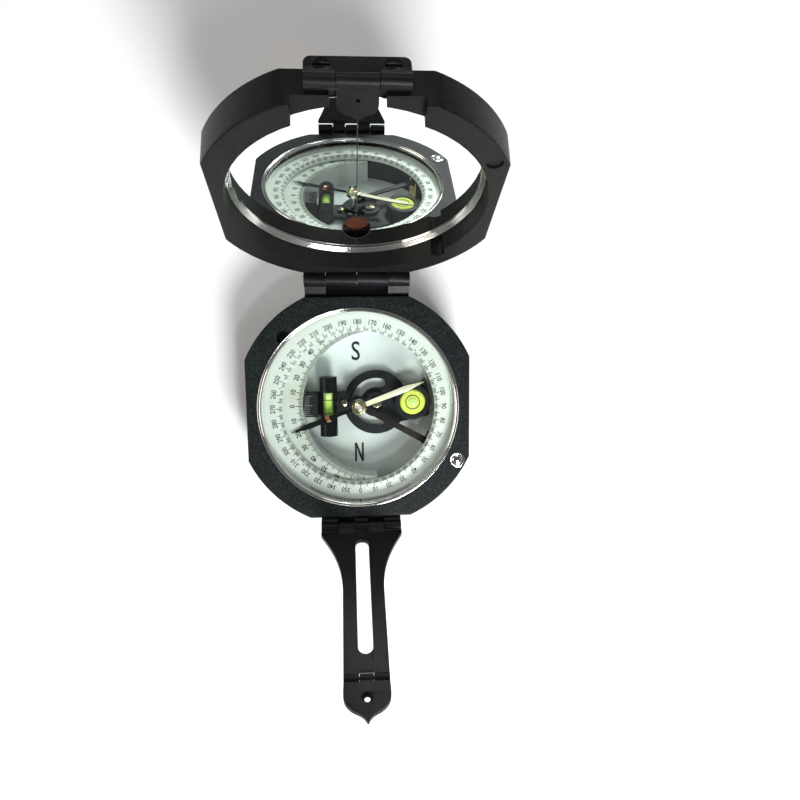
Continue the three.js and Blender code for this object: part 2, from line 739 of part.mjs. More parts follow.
// The curved slot that lets the carrier swing past the needle's pivot.
function pivotSlot() {
  const { radius, half } = SLOT;
  const a = THREE.MathUtils.degToRad(SLOT.from);
  const b = THREE.MathUtils.degToRad(SLOT.to);
  const shape = new THREE.Shape();
  shape.absarc(0, 0, radius + half, a, b);
  shape.absarc(radius * Math.cos(b), radius * Math.sin(b), half, b, b + Math.PI);
  shape.absarc(0, 0, radius - half, b, a, true);
  shape.absarc(radius * Math.cos(a), radius * Math.sin(a), half, a + Math.PI, a + 2 * Math.PI);
  return plate(shape, CARRIER_BOTTOM - 1, CARRIER_TOP + 1, 14).translate(AXLE.x, AXLE.y, 0);
}

function clinometerCarrier() {
  const sector = new THREE.Shape();
  sector.moveTo(10, 7.5);
  sector.absarc(0, 0, 23.5, THREE.MathUtils.degToRad(20.8), THREE.MathUtils.degToRad(-10.4), true);
  sector.lineTo(10, -7);
  const ringPlate = disc(RING_PLATE_RADIUS, CARRIER_BOTTOM, CARRIER_TOP, 48);
  const pieces = [
    ringPlate.translate(AXLE.x, AXLE.y, 0),
    plate(sector, CARRIER_BOTTOM, CARRIER_TOP),
    block(-17.2, 0, -3.4, 4.3, CARRIER_BOTTOM, CARRIER_TOP),
  ];
  const cuts = [
    pivotSlot(),
    disc(1.25, 0, CASE_HEIGHT, ROUND).translate(AXLE.x, AXLE.y, 0),
    disc(0.75, 0, CASE_HEIGHT, 12).translate(ARM_SCREW.x, ARM_SCREW.y, 0),
  ];
  return cuts.reduce((rest, cut) => rest.subtract(cut), join(...pieces));
}

// A fixed bar from the needle's pivot to the top of the axle.
function pivotBridge() {
  const pads = [
    disc(3.5, BRIDGE_BOTTOM, BRIDGE_TOP, 28).translate(AXLE.x, AXLE.y, 0),
    disc(2.9, BRIDGE_BOTTOM, BRIDGE_TOP, 28),
    disc(2.1, BRIDGE_BOTTOM, BRIDGE_TOP, 20).translate(-1.1, -0.2, 0),
    block(-1.1, AXLE.x, -1.6, 1.9, BRIDGE_BOTTOM, BRIDGE_TOP),
  ];
  return join(...pads)
    .subtract(disc(PIVOT.post + RUNNING, 0, CASE_HEIGHT, ROUND))
    .subtract(disc(0.75, 0, CASE_HEIGHT, 12).translate(AXLE.x, AXLE.y, 0));
}

// A slotted screw standing up, with its head on a seat.
function slottedScrew(foot, seat, headRadius) {
  const shank = disc(0.7, foot, seat + 0.1, 12);
  const cap = disc(headRadius, seat, seat + 0.8, ROUND);
  const slot = block(-3, 3, -0.22, 0.22, seat + 0.4, seat + 2).rotate([0, 0, 35]);
  return join(shank, cap).subtract(slot);
}

function needlePivot() {
  return turned([
    [0, FLOOR_TOP + 0.02],
    [PIVOT.foot, FLOOR_TOP + 0.02],
    [PIVOT.foot, DIAL_TOP],
    [PIVOT.post, DIAL_TOP],
    [PIVOT.post, PIVOT.cone],
    [0.05, PIVOT.point],
    [0, PIVOT.point],
  ], ROUND);
}

function clinometerShaft() {
  const shoulder = CARRIER_BOTTOM - 0.5;
  const body = turned([
    [0, 0.75],
    [1.6, 0.75],
    [1.6, shoulder],
    [3.2, shoulder],
    [3.2, CARRIER_BOTTOM],
    [1.2, CARRIER_BOTTOM],
    [1.2, CARRIER_TOP - 0.02],
    [0, CARRIER_TOP - 0.02],
  ], ROUND);
  return body
    .subtract(disc(0.85, 0, 3.3, 12))
    .subtract(disc(0.75, CARRIER_BOTTOM + 0.1, CASE_HEIGHT, 12))
    .translate(AXLE.x, AXLE.y, 0);
}

function tubeLevelHousing() {
  const { x, z, radius, bore, y0, y1 } = TUBE;
  const foot = block(x - 2.5, x + 2.5, -3.6, 4.6, CARRIER_TOP, z);
  const window = block(x - 1.5, x + 1.5, -2.8, 4.5, z, z + 4);
  return join(barY(radius, y0, y1, x, z, 32), foot)
    .subtract(barY(bore, y0 - 1, y1 + 1, x, z, 24))
    .subtract(window);
}

function tubeLevelVial() {
  return barY(TUBE.bore - 0.1, TUBE.y0 + 1.5, TUBE.y1 - 1.5, TUBE.x, TUBE.z, 24);
}

function tubeLevelCap(y0, y1) {
  return barY(TUBE.bore - 0.05, y0, y1, TUBE.x, TUBE.z, 24);
}

function roundLevelHousing() {
  const { x, y, housing, vial } = ROUND_LEVEL;
  const cup = disc(housing, CARRIER_TOP, 12.2, 40).subtract(disc(vial + 0.1, 9.6, 13, 40));
  return cup.translate(x, y, 0);
}

function roundLevelVial() {
  const { x, y, vial } = ROUND_LEVEL;
  const profile = [[0, 9.65], [vial, 9.65], [vial, 11.7], [vial - 0.4, 12.05], [0, 12.2]];
  return turned(profile, 40).translate(x, y, 0);
}

function vernierBlock() {
  const body = block(-17.2, -13.2, -3.2, 4.2, CARRIER_TOP, 14.3);
  const line = block(-17.3, -13.2, 0.35, 0.65, 14.1, 15);
  return body.subtract(line);
}

function backLever() {
  const reach = 20.6;
  const arm = new THREE.Shape();
  arm.moveTo(-2.3, 0);
  arm.lineTo(-1.6, 2 - reach);
  arm.absarc(0, 2 - reach, 1.6, Math.PI, 2 * Math.PI);
  arm.lineTo(2.3, 0);
  const tab = block(-1.2, 1.2, 0.9 - reach, 3.4 - reach, 0.3, 1.5);
  return join(disc(4.3, 0.75, 2.5, 28), plate(arm, 0.75, 2.5, 6), tab)
    .subtract(disc(1.6 + RUNNING, 0, 5, ROUND))
    .translate(AXLE.x, AXLE.y, 0);
}

// A broad flat head, level with the case's bottom, with two spanner holes.
function leverScrew() {
  const head = disc(6.7, 0, 0.7, 40);
  const shank = disc(0.8, 0.3, 3.1, 12);
  const spannerHole = disc(0.5, -1, 0.4, 12);
  return join(head, shank)
    .subtract(spannerHole.translate(3.2, 0, 0))
    .subtract(spannerHole.translate(-3.2, 0, 0))
    .translate(AXLE.x, AXLE.y, 0);
}

// ---------- assembly ----------

const face = ACROSS_FLATS / 2;

add(compass, "base_case", baseCase(), blackPaint);
add(compass, "dial_plate", dialPlate(), whitePlate);
add(compass, "clinometer_scale", clinometerScale(), whitePlate);
add(compass, "azimuth_ring", azimuthRing(), whitePlate);
add(compass, "index_ring", ring(29.6, GLASS_BORE - 0.1, GLASS_LEDGE, INDEX_TOP), whitePlate);
add(compass, "glass_gasket", ring(30.9, GLASS_BORE - 0.1, INDEX_TOP, GASKET_TOP), rubber);
add(compass, "dial_glass", disc(GLASS_BORE - 0.1, GASKET_TOP, GLASS_TOP), clearGlass);
add(compass, "bezel_ring", ring(30.3, GLASS_BORE - 0.1, GLASS_TOP, BEZEL_TOP), chrome);
const bush = ring(1.6 + RUNNING, 2.85, RECESS_TOP, 6.6, 24);
add(compass, "shaft_bush", bush.translate(AXLE.x, AXLE.y, 0), brass);
add(compass, "declination_screw", declinationScrew(), brass);
add(compass, "button_collar", buttonCollar(), chrome);
add(compass, "lock_button", lockButton(), chrome);
add(compass, "button_spring", buttonSpring(), steel);
add(compass, "lift_lever", liftLever(), blackMetal);
add(compass, "lever_bracket", leverBracket(), brass);
add(compass, "lever_pin", leverPin(), steel);
add(compass, "lid_hinge_base_leaf", lidHingeBaseLeaf(), blackMetal);
add(compass, "lid_hinge_pin", hingePin(LID_AXIS, LID_HINGE_HALF), brass);
add(compass, "arm_hinge_leaf", armHingeLeaf(), blackMetal);
add(compass, "arm_hinge_pin", hingePin(ARM_AXIS, ARM_KNUCKLES.outer), steel);
for (const [side, sign] of [["left", -1], ["right", 1]]) {
  const rear = screwY(sign * HINGE_SCREW_X, CASE_SCREW_Z, face + LEAF_THICKNESS, 1, 5.6);
  const front = screwY(sign * ARM_SCREW_X, CASE_SCREW_Z, -face - 1.2, -1, 4.6);
  add(compass, `base_leaf_screw_${side}`, rear, blackMetal);
  add(compass, `arm_leaf_screw_${side}`, front, blackMetal);
}

const lid = hinged(compass, LID_AXIS, -LID_OPEN);
add(lid, "lid_shell", lidShell(), blackPaint);
add(lid, "mirror", mirrorPane(), silvered);
add(lid, "mirror_ring", mirrorRing(), chrome);
add(lid, "lid_hinge_lid_leaf", lidHingeLidLeaf(), blackMetal);
add(lid, "peep_mount_plate", peepMountPlate(), blackMetal);
add(lid, "peep_pin", hingePin(PEEP_AXIS, 10.7), steel);
add(lid, "peep_sight", peepSight(), blackMetal);
for (const [side, sign] of [["left", -1], ["right", 1]]) {
  const hinge = screwY(sign * HINGE_SCREW_X, LID_SCREW_Z, face + 0.1 + LEAF_THICKNESS, 1, 4.8);
  const peep = screwY(sign * PEEP_SCREW.x, PEEP_SCREW.z, -37.8, -1, 5.4);
  add(lid, `lid_leaf_screw_${side}`, hinge, blackMetal);
  add(lid, `peep_screw_${side}`, peep, blackMetal);
}

const arm = hinged(compass, ARM_AXIS, -ARM_RAISED);
add(arm, "sight_arm", sightArm(), blackMetal);
add(arm, "tip_pin", hingePin(TIP_AXIS, ARM_HALF), steel);
add(arm, "sight_tip", sightTip(), blackMetal);

const needle = new THREE.Group();
needle.rotation.z = THREE.MathUtils.degToRad(NEEDLE_ANGLE);
compass.add(needle);
add(needle, "needle_north", needleBlade(0.9, 1.15, 16.5), creamPaint);
add(needle, "needle_south", needleBlade(0.5, 0.95, 17).rotate([0, 0, 180]), blackMetal);
add(needle, "needle_cap", needleCap(), brass);
add(needle, "needle_jewel", jewel(), ruby);
add(needle, "balance_coil", balanceCoil(), copper);

add(compass, "clinometer_carrier", clinometerCarrier(), blackPaint);
add(compass, "pivot_bridge", pivotBridge(), blackMetal);
add(compass, "needle_pivot", needlePivot(), steel);
add(compass, "clinometer_shaft", clinometerShaft(), steel);
add(compass, "tube_level_housing", tubeLevelHousing(), blackMetal);
add(compass, "tube_level_vial", tubeLevelVial(), vialGreen);
add(compass, "tube_level_cap_front", tubeLevelCap(TUBE.y0 + 0.05, TUBE.y0 + 1.4), blackMetal);
add(compass, "tube_level_cap_rear", tubeLevelCap(TUBE.y1 - 1.4, TUBE.y1 - 0.05), blackMetal);
add(compass, "round_level_housing", roundLevelHousing(), blackMetal);
add(compass, "round_level_vial", roundLevelVial(), vialGreen);
add(compass, "vernier_block", vernierBlock(), blackMetal);
add(compass, "back_lever", backLever(), blackMetal);
add(compass, "lever_screw", leverScrew(), brass);
const washer = ring(1.7, 3.8, 2.6, 3.15, 28);
add(compass, "friction_washer", washer.translate(AXLE.x, AXLE.y, 0), steel);
const axleScrew = slottedScrew(CARRIER_BOTTOM + 0.3, BRIDGE_TOP, AXLE_SCREW_HEAD);
add(compass, "axle_screw", axleScrew.translate(AXLE.x, AXLE.y, 0), brass);
const armScrew = slottedScrew(CARRIER_BOTTOM, CARRIER_TOP, ARM_SCREW.head);
add(compass, "carrier_screw", armScrew.translate(ARM_SCREW.x, ARM_SCREW.y, 0), brass);

export default compass;
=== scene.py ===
"""The looks of the sighting compass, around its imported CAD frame. Piece sizes are in millimetres."""
import json
import math
import bmesh
import bpy
from mathutils import Matrix, Vector


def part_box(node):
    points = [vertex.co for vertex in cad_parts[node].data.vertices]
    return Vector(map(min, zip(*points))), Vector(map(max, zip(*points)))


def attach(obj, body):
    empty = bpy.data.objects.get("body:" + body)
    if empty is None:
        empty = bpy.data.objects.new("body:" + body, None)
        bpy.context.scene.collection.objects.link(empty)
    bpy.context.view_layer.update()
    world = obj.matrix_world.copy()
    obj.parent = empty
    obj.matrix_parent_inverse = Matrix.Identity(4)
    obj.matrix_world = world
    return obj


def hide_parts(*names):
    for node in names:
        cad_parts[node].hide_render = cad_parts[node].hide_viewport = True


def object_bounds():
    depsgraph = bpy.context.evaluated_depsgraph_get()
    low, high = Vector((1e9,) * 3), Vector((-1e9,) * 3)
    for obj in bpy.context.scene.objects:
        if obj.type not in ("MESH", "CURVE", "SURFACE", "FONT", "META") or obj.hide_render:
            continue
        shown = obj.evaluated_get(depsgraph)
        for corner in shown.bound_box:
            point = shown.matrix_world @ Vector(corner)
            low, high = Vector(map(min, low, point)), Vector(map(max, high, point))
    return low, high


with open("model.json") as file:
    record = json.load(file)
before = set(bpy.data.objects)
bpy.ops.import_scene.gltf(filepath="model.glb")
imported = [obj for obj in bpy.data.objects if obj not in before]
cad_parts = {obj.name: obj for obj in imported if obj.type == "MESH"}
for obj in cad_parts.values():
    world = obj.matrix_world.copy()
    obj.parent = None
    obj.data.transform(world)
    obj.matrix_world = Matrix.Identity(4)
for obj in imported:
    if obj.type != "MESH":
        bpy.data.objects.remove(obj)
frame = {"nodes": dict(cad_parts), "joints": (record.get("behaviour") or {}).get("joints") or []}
CAD_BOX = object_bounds()
MM = 0.001


# ---------- places, from the frame ----------

def joint(name):
    return next(j for j in frame["joints"] if j["name"] == name)


def turned_about(j, degrees):
    """The row-frame matrix of a turn about a joint's line."""
    at = Matrix.Translation(Vector(j["pos_m"]))
    return at @ Matrix.Rotation(math.radians(degrees), 4, Vector(j["axis"])) @ at.inverted()


def top_of(node):
    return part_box(node)[1].z / MM


def bottom_of(node):
    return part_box(node)[0].z / MM


LID_HINGE = joint("lid_hinge")
SHUT_TO_REST = turned_about(LID_HINGE, -LID_HINGE["range_deg"][1])
IN_PLACE = Matrix.Identity(4)
NORTH_END = sum(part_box("needle_north"), Vector())
NEEDLE_TURN = Matrix.Rotation(math.atan2(NORTH_END.y, NORTH_END.x), 4, "Z")


# ---------- shader helpers ----------

class Nodes:
    """A material's node tree, with short calls for the nodes used here."""

    def __init__(self, name):
        self.mat = bpy.data.materials.new(name)
        self.mat.use_nodes = True
        self.tree = self.mat.node_tree
        self.bsdf = self.tree.nodes["Principled BSDF"]
        self.output = self.tree.nodes["Material Output"]
        self.coords = self.tree.nodes.new("ShaderNodeTexCoord").outputs["Object"]

    def new(self, kind, **settings):
        node = self.tree.nodes.new(kind)
        for key, value in settings.items():
            setattr(node, key, value)
        return node

    def link(self, a, b):
        self.tree.links.new(a, b)

    def set(self, **values):
        for key, value in values.items():
            self.bsdf.inputs[key.replace("_", " ")].default_value = value

    def noise(self, per_mm, detail=3.0, stretch=None):
        node = self.new("ShaderNodeTexNoise")
        node.inputs["Scale"].default_value = per_mm / MM
        node.inputs["Detail"].default_value = detail
        self.link(self.stretched(stretch), node.inputs["Vector"])
        return node.outputs["Fac"]

    def stretched(self, stretch):
        if stretch is None:
            return self.coords
        mapping = self.new("ShaderNodeMapping")
        mapping.inputs["Scale"].default_value = stretch
        self.link(self.coords, mapping.inputs["Vector"])
        return mapping.outputs["Vector"]

    def cells(self, per_mm):
        """A random number for each little cell of the surface."""
        node = self.new("ShaderNodeTexVoronoi")
        node.inputs["Scale"].default_value = per_mm / MM
        self.link(self.coords, node.inputs["Vector"])
        split = self.new("ShaderNodeSeparateColor")
        self.link(node.outputs["Color"], split.inputs["Color"])
        return split.outputs["Red"]

    def ramp(self, value, stops):
        node = self.new("ShaderNodeValToRGB")
        ramp = node.color_ramp
        while len(ramp.elements) < len(stops):
            ramp.elements.new(0.5)
        for element, (at, colour) in zip(ramp.elements, stops):
            element.position = at
            element.color = (*colour, 1)
        self.link(value, node.inputs["Fac"])
        return node.outputs["Color"]

    def level(self, value, low, high, start=0.3, end=0.7):
        node = self.new("ShaderNodeMapRange")
        for key, number in (("From Min", start), ("From Max", end), ("To Min", low), ("To Max", high)):
            node.inputs[key].default_value = number
        self.link(value, node.inputs["Value"])
        return node.outputs["Result"]

    def mix(self, factor, under, over):
        """The plain colour `over` laid on the socket `under`, as much as factor says."""
        node = self.new("ShaderNodeMix", data_type="RGBA")
        factor_in, under_in, over_in = node.inputs[0], node.inputs[6], node.inputs[7]
        self.link(factor, factor_in)
        self.link(under, under_in)
        over_in.default_value = (*over, 1)
        return node.outputs[2]

    def bump(self, height, depth_mm, strength=1.0):
        node = self.new("ShaderNodeBump")
        node.inputs["Strength"].default_value = strength
        node.inputs["Distance"].default_value = depth_mm * MM
        self.link(height, node.inputs["Height"])
        self.link(node.outputs["Normal"], self.bsdf.inputs["Normal"])

    def colour(self, socket):
        self.link(socket, self.bsdf.inputs["Base Color"])

    def rough(self, socket):
        self.link(socket, self.bsdf.inputs["Roughness"])


def speckled_paint(name, dark, light, fleck, shine=(0.42, 0.62), grit=0.75):
    """Textured black paint with fine paler flecks."""
    n = Nodes(name)
    cloudy = n.ramp(n.noise(0.08, 2), [(0.3, dark), (0.7, light)])
    flecks = n.ramp(n.cells(4.6), [(0.55, (0, 0, 0)), (0.98, (1, 1, 1))])
    n.colour(n.mix(flecks, cloudy, fleck))
    n.rough(n.level(n.noise(3.1, 2), *shine))
    n.bump(n.noise(4.4, 3), 0.05, grit)
    n.set(Specular_IOR_Level=0.14)
    return n.mat


def satin_black(name, dark, light, shine=(0.3, 0.46), grain=2.0, depth=0.012):
    """Black finish on machined metal, with a fine grain."""
    n = Nodes(name)
    n.colour(n.ramp(n.noise(0.11, 3), [(0.3, dark), (0.72, light)]))
    n.rough(n.level(n.noise(grain, 4), *shine))
    n.bump(n.noise(grain * 2.2, 2), depth, 0.6)
    n.set(Specular_IOR_Level=0.16)
    return n.mat


def bare_metal(name, dark, light, shine, streak=(1, 1, 1), grain=1.4, depth=0.004):
    """Turned or plated metal, slightly uneven in colour and polish."""
    n = Nodes(name)
    n.set(Metallic=1.0)
    n.colour(n.ramp(n.noise(grain, 4, streak), [(0.25, dark), (0.75, light)]))
    n.rough(n.level(n.noise(grain * 1.7, 3, streak), *shine))
    n.bump(n.noise(grain * 4, 2, streak), depth, 0.5)
    return n.mat


def enamel(name, pale, deep, shine=(0.28, 0.42), per_mm=0.05):
    """White enamel that is yellower in broad patches, with a faint fine mottle."""
    n = Nodes(name)
    fine = n.noise(1.9, 3)
    broad = n.ramp(n.noise(per_mm, 2), [(0.32, deep), (0.62, pale)])
    n.colour(n.mix(n.level(fine, 0.0, 0.05), broad, (0.45, 0.5, 0.47)))
    n.rough(n.level(n.noise(1.1, 2), *shine))
    n.bump(n.noise(2.6, 2), 0.006, 0.5)
    return n.mat


def printed_ink(name, colour, light):
    """Printed marks, uneven in depth."""
    n = Nodes(name)
    n.colour(n.ramp(n.noise(2.4, 3), [(0.3, colour), (0.75, light)]))
    n.rough(n.level(n.noise(3, 2), 0.45, 0.65))
    return n.mat


FACE_ON_SHINE = 0.035
EDGE_ON_SHINE = 0.965


def clear_pane(name, tint, haze=(0.0, 0.02)):
    """Flat glass: what is behind it shows unbent, and it shines more the flatter it is seen."""
    n = Nodes(name)
    clear = n.new("ShaderNodeBsdfTransparent")
    clear.inputs["Color"].default_value = (*tint, 1)
    edge_on = n.new("ShaderNodeLayerWeight")
    edge_on.inputs["Blend"].default_value = 0.5
    power = n.new("ShaderNodeMath", operation="POWER")
    power.inputs[1].default_value = 5.0
    n.link(edge_on.outputs["Facing"], power.inputs[0])
    shine = n.new("ShaderNodeMath", operation="MULTIPLY_ADD")
    shine.inputs[1].default_value = EDGE_ON_SHINE
    shine.inputs[2].default_value = FACE_ON_SHINE
    n.link(power.outputs["Value"], shine.inputs[0])
    n.set(Metallic=1.0, Base_Color=(0.95, 0.98, 1.0, 1.0))
    n.rough(n.level(n.noise(0.05, 2), *haze))
    mixed = n.new("ShaderNodeMixShader")
    n.link(shine.outputs["Value"], mixed.inputs["Fac"])
    n.link(clear.outputs["BSDF"], mixed.inputs[1])
    n.link(n.bsdf.outputs["BSDF"], mixed.inputs[2])
    n.link(mixed.outputs["Shader"], n.output.inputs["Surface"])
    return n.mat


def silvered(name):
    """The mirror's silvering, a little cloudy in places."""
    n = Nodes(name)
    n.set(Metallic=1.0)
    n.colour(n.ramp(n.noise(0.04, 2), [(0.3, (0.80, 0.84, 0.82)), (0.7, (0.87, 0.90, 0.88))]))
    n.rough(n.level(n.noise(0.2, 3), 0.0, 0.012, 0.45, 0.8))
    return n.mat


def level_fluid(name, deep, pale, along, start, end, painted_glow=0.0):
    """Dyed liquid in a vial, with painted light: paler towards one end of the given axis, and a painted
    glow where one is given.
    """
    n = Nodes(name)
    split = n.new("ShaderNodeSeparateXYZ")
    n.link(n.coords, split.inputs["Vector"])
    # Painted light: one end of the vial is made paler.
    painted_light = n.level(split.outputs[along], 0, 1, start * MM, end * MM)
    wavy = n.level(n.noise(0.5, 3), -0.12, 0.12)
    total = n.new("ShaderNodeMath", operation="ADD", use_clamp=True)
    n.link(painted_light, total.inputs[0])
    n.link(wavy, total.inputs[1])
    n.colour(n.ramp(total.outputs["Value"], [(0.0, deep), (1.0, pale)]))
    n.rough(n.level(n.noise(1.0, 2), 0.04, 0.09))
    n.set(IOR=1.45, Coat_Weight=0.6, Coat_Roughness=0.03)
    # Painted glow: the liquid shines though it is no lamp.
    if painted_glow:
        n.set(Emission_Strength=painted_glow, Emission_Color=(*pale, 1))
    return n.mat


# ---------- materials ----------

CASE_PAINT = speckled_paint(
    "case_paint", (0.003, 0.004, 0.004), (0.007, 0.009, 0.009), (0.026, 0.036, 0.038)
)
# A darker, less flecked copy of the case paint for the lid: the extra darkness is painted shade.
SHADED_LID_PAINT = speckled_paint(
    "shaded_lid_paint", (0.003, 0.003, 0.002), (0.006, 0.006, 0.005), (0.012, 0.014, 0.012), (0.36, 0.5), 0.35
)
HINGE_BLACK = satin_black(
    "hinge_black", (0.004, 0.004, 0.005), (0.010, 0.010, 0.012), (0.2, 0.42), grain=3.0, depth=0.05
)
ARM_BLACK = satin_black("arm_black", (0.004, 0.0045, 0.0055), (0.009, 0.0085, 0.008))
PLATE_BLACK = satin_black(
    "plate_black", (0.010, 0.012, 0.014), (0.022, 0.024, 0.028), (0.36, 0.52), grain=2.6, depth=0.02
)
GLOSS_BLACK = satin_black(
    "gloss_black", (0.004, 0.005, 0.006), (0.010, 0.011, 0.012), (0.07, 0.16), grain=1.2, depth=0.003
)
LEVER_BROWN = satin_black("lever_brown", (0.012, 0.010, 0.008), (0.028, 0.022, 0.016), (0.3, 0.45))
CHROME = bare_metal("chrome", (0.80, 0.79, 0.75), (0.90, 0.89, 0.86), (0.05, 0.13))
STEEL = bare_metal("steel", (0.52, 0.53, 0.55), (0.68, 0.69, 0.71), (0.18, 0.34), streak=(1, 4, 1))
BRASS = bare_metal("brass", (0.66, 0.52, 0.26), (0.85, 0.71, 0.42), (0.14, 0.28))
# Brass darkened as painted shade, for the pin seen in the dark seams between the hinge knuckles.
SEAM_SHADED_BRASS = bare_metal("seam_shaded_brass", (0.10, 0.075, 0.04), (0.20, 0.15, 0.08), (0.3, 0.45))
PALE_BRASS = bare_metal("pale_brass", (0.74, 0.66, 0.42), (0.93, 0.87, 0.66), (0.1, 0.22))
COPPER = bare_metal("copper", (0.55, 0.24, 0.13), (0.80, 0.42, 0.26), (0.16, 0.3), grain=2.4)
RING_WHITE = enamel("ring_white", (0.88, 0.92, 0.87), (0.82, 0.87, 0.79))
SCALE_WHITE = enamel("scale_white", (0.78, 0.85, 0.80), (0.66, 0.71, 0.58), per_mm=0.07)
DIAL_WHITE = enamel("dial_white", (0.84, 0.90, 0.89), (0.74, 0.79, 0.72), (0.18, 0.3), per_mm=0.06)
NEEDLE_CREAM = enamel("needle_cream", (0.93, 0.88, 0.66), (0.88, 0.81, 0.56), (0.3, 0.42), per_mm=0.2)
FINE_INK = printed_ink("fine_ink", (0.012, 0.015, 0.015), (0.035, 0.042, 0.04))
BOLD_INK = printed_ink("bold_ink", (0.004, 0.004, 0.005), (0.012, 0.013, 0.014))
PALE_INK = printed_ink("pale_ink", (0.30, 0.29, 0.30), (0.42, 0.41, 0.42))
DIAL_GLASS = clear_pane("dial_pane", (0.975, 0.99, 0.98))
# The window's brown tint is a painted view of a brown table seen through the oval, not the glass's own
# colour.
WINDOW_GLASS = clear_pane("window_pane", (0.50, 0.30, 0.22))
SILVER = silvered("silvering")
# The vials, the bubble and the jewel carry painted light: a paler end, plus a painted glow on the vials
# and the bubble.
TUBE_GREEN = level_fluid("tube_fluid", (0.10, 0.33, 0.02), (0.55, 0.82, 0.16), "Y", -2.6, 2.2, 0.12)
ROUND_GREEN = level_fluid("round_fluid", (0.50, 0.72, 0.05), (0.82, 0.90, 0.16), "Z", 9.6, 12.2, 0.1)
BUBBLE = level_fluid("bubble", (0.56, 0.84, 0.12), (0.80, 0.95, 0.40), "Z", 11.6, 13.6, 0.08)
RUBBER = satin_black("gasket", (0.004, 0.004, 0.004), (0.010, 0.010, 0.010), (0.6, 0.8), depth=0.02)
RUBY = level_fluid("ruby", (0.45, 0.30, 0.33), (0.72, 0.60, 0.62), "Z", 15.5, 16.4)


# ---------- mesh helpers ----------

def shading_group(name, degrees):
    """Smooth shading, except over edges sharper than the angle. It changes no shape."""
    group = bpy.data.node_groups.new(name, "GeometryNodeTree")
    group.interface.new_socket("Geometry", in_out="INPUT", socket_type="NodeSocketGeometry")
    group.interface.new_socket("Geometry", in_out="OUTPUT", socket_type="NodeSocketGeometry")
    nodes, links = group.nodes, group.links
    start = nodes.new("NodeGroupInput")
    end = nodes.new("NodeGroupOutput")
    clear = nodes.new("GeometryNodeRemoveAttribute")
    clear.inputs["Name"].default_value = "custom_normal"
    faces = nodes.new("GeometryNodeSetShadeSmooth")
    edges = nodes.new("GeometryNodeSetShadeSmooth")
    edges.domain = "EDGE"
    edges.inputs["Shade Smooth"].default_value = False
    angle = nodes.new("GeometryNodeInputMeshEdgeAngle")
    sharp = nodes.new("FunctionNodeCompare")
    sharp.operation = "GREATER_THAN"
    sharp.inputs["B"].default_value = math.radians(degrees)
    links.new(start.outputs[0], clear.inputs["Geometry"])
    links.new(clear.outputs["Geometry"], faces.inputs["Geometry"])
    links.new(faces.outputs["Geometry"], edges.inputs["Geometry"])
    links.new(angle.outputs["Unsigned Angle"], sharp.inputs["A"])
    links.new(sharp.outputs["Result"], edges.inputs["Selection"])
    links.new(edges.outputs["Geometry"], end.inputs[0])
    return group


SHARP_EDGE = 38
BEVELLED_EDGE = 40
WELD_DISTANCE = 2e-6
SOFT_SHADING = shading_group("soft_shading", SHARP_EDGE)


def smooth(obj, edge_mm):
    """Welds the split corners, rounds the sharp edges and shades the rest smooth."""
    weld = obj.modifiers.new("weld", "WELD")
    weld.merge_threshold = WELD_DISTANCE
    if edge_mm:
        bevel = obj.modifiers.new("edges", "BEVEL")
        bevel.width = edge_mm * MM
        bevel.segments = 2
        bevel.limit_method = "ANGLE"
        bevel.angle_limit = math.radians(BEVELLED_EDGE)
        bevel.use_clamp_overlap = True
    shading = obj.modifiers.new("shading", "NODES")
    shading.node_group = SOFT_SHADING
    if edge_mm:
        weighted = obj.modifiers.new("flats", "WEIGHTED_NORMAL")
        weighted.keep_sharp = True


def piece(name, verts, faces, body, slot, materials, matrix=IN_PLACE, kinds=None):
    """A new piece from millimetre points, riding on a body. kinds gives each face's material."""
    mesh = bpy.data.meshes.new(name)
    mesh.from_pydata([tuple(c * MM for c in v) for v in verts], [], faces)
    mesh.transform(matrix)
    bm = bmesh.new()
    bm.from_mesh(mesh)
    bmesh.ops.recalc_face_normals(bm, faces=bm.faces)
    bm.to_mesh(mesh)
    bm.free()
    for material in materials if isinstance(materials, list) else [materials]:
        mesh.materials.append(material)
    if kinds:
        mesh.polygons.foreach_set("material_index", kinds)
    obj = bpy.data.objects.new(name, mesh)
    bpy.context.scene.collection.objects.link(obj)
    smooth(obj, 0)
    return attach(obj, body)


class Parts:
    """Several closed shapes gathered into one mesh of one material."""

    def __init__(self):
        self.verts, self.faces = [], []

    def add(self, verts, faces):
        start = len(self.verts)
        self.verts += [tuple(v) for v in verts]
        self.faces += [tuple(i + start for i in f) for f in faces]

    def make(self, name, body, slot, material, matrix=IN_PLACE):
        piece(name, self.verts, self.faces, body, slot, material, matrix)


def band(first, second, count):
    """The quads between two closed loops of count points, which start at those two indices."""
    quads = []
    for i in range(count):
        j = (i + 1) % count
        quads.append((first + i, first + j, second + j, second + i))
    return quads


def prism(outline, z0, z1):
    """A flat outline raised from z0 to z1."""
    count = len(outline)
    verts = [(x, y, z0) for x, y in outline] + [(x, y, z1) for x, y in outline]
    faces = [tuple(reversed(range(count))), tuple(range(count, 2 * count))]
    return verts, faces + band(0, count, count)


def lathe(profile, segments=192, centre=(0, 0)):
    """A closed [radius, z] profile turned about a line along Z. Points at radius 0 become one point."""
    verts, rows = [], []
    for r, z in profile:
        if r == 0:
            rows.append([len(verts)] * segments)
            verts.append((*centre, z))
            continue
        rows.append(list(range(len(verts), len(verts) + segments)))
        for i in range(segments):
            a = 2 * math.pi * i / segments
            verts.append((centre[0] + r * math.cos(a), centre[1] + r * math.sin(a), z))
    faces = []
    for k, row in enumerate(rows):
        below = rows[(k + 1) % len(rows)]
        if row[0] == row[1] and below[0] == below[1]:
            continue
        for i in range(segments):
            j = (i + 1) % segments
            corners = [row[i], row[j], below[j], below[i]]
            faces.append(tuple(dict.fromkeys(corners)))
    return verts, faces


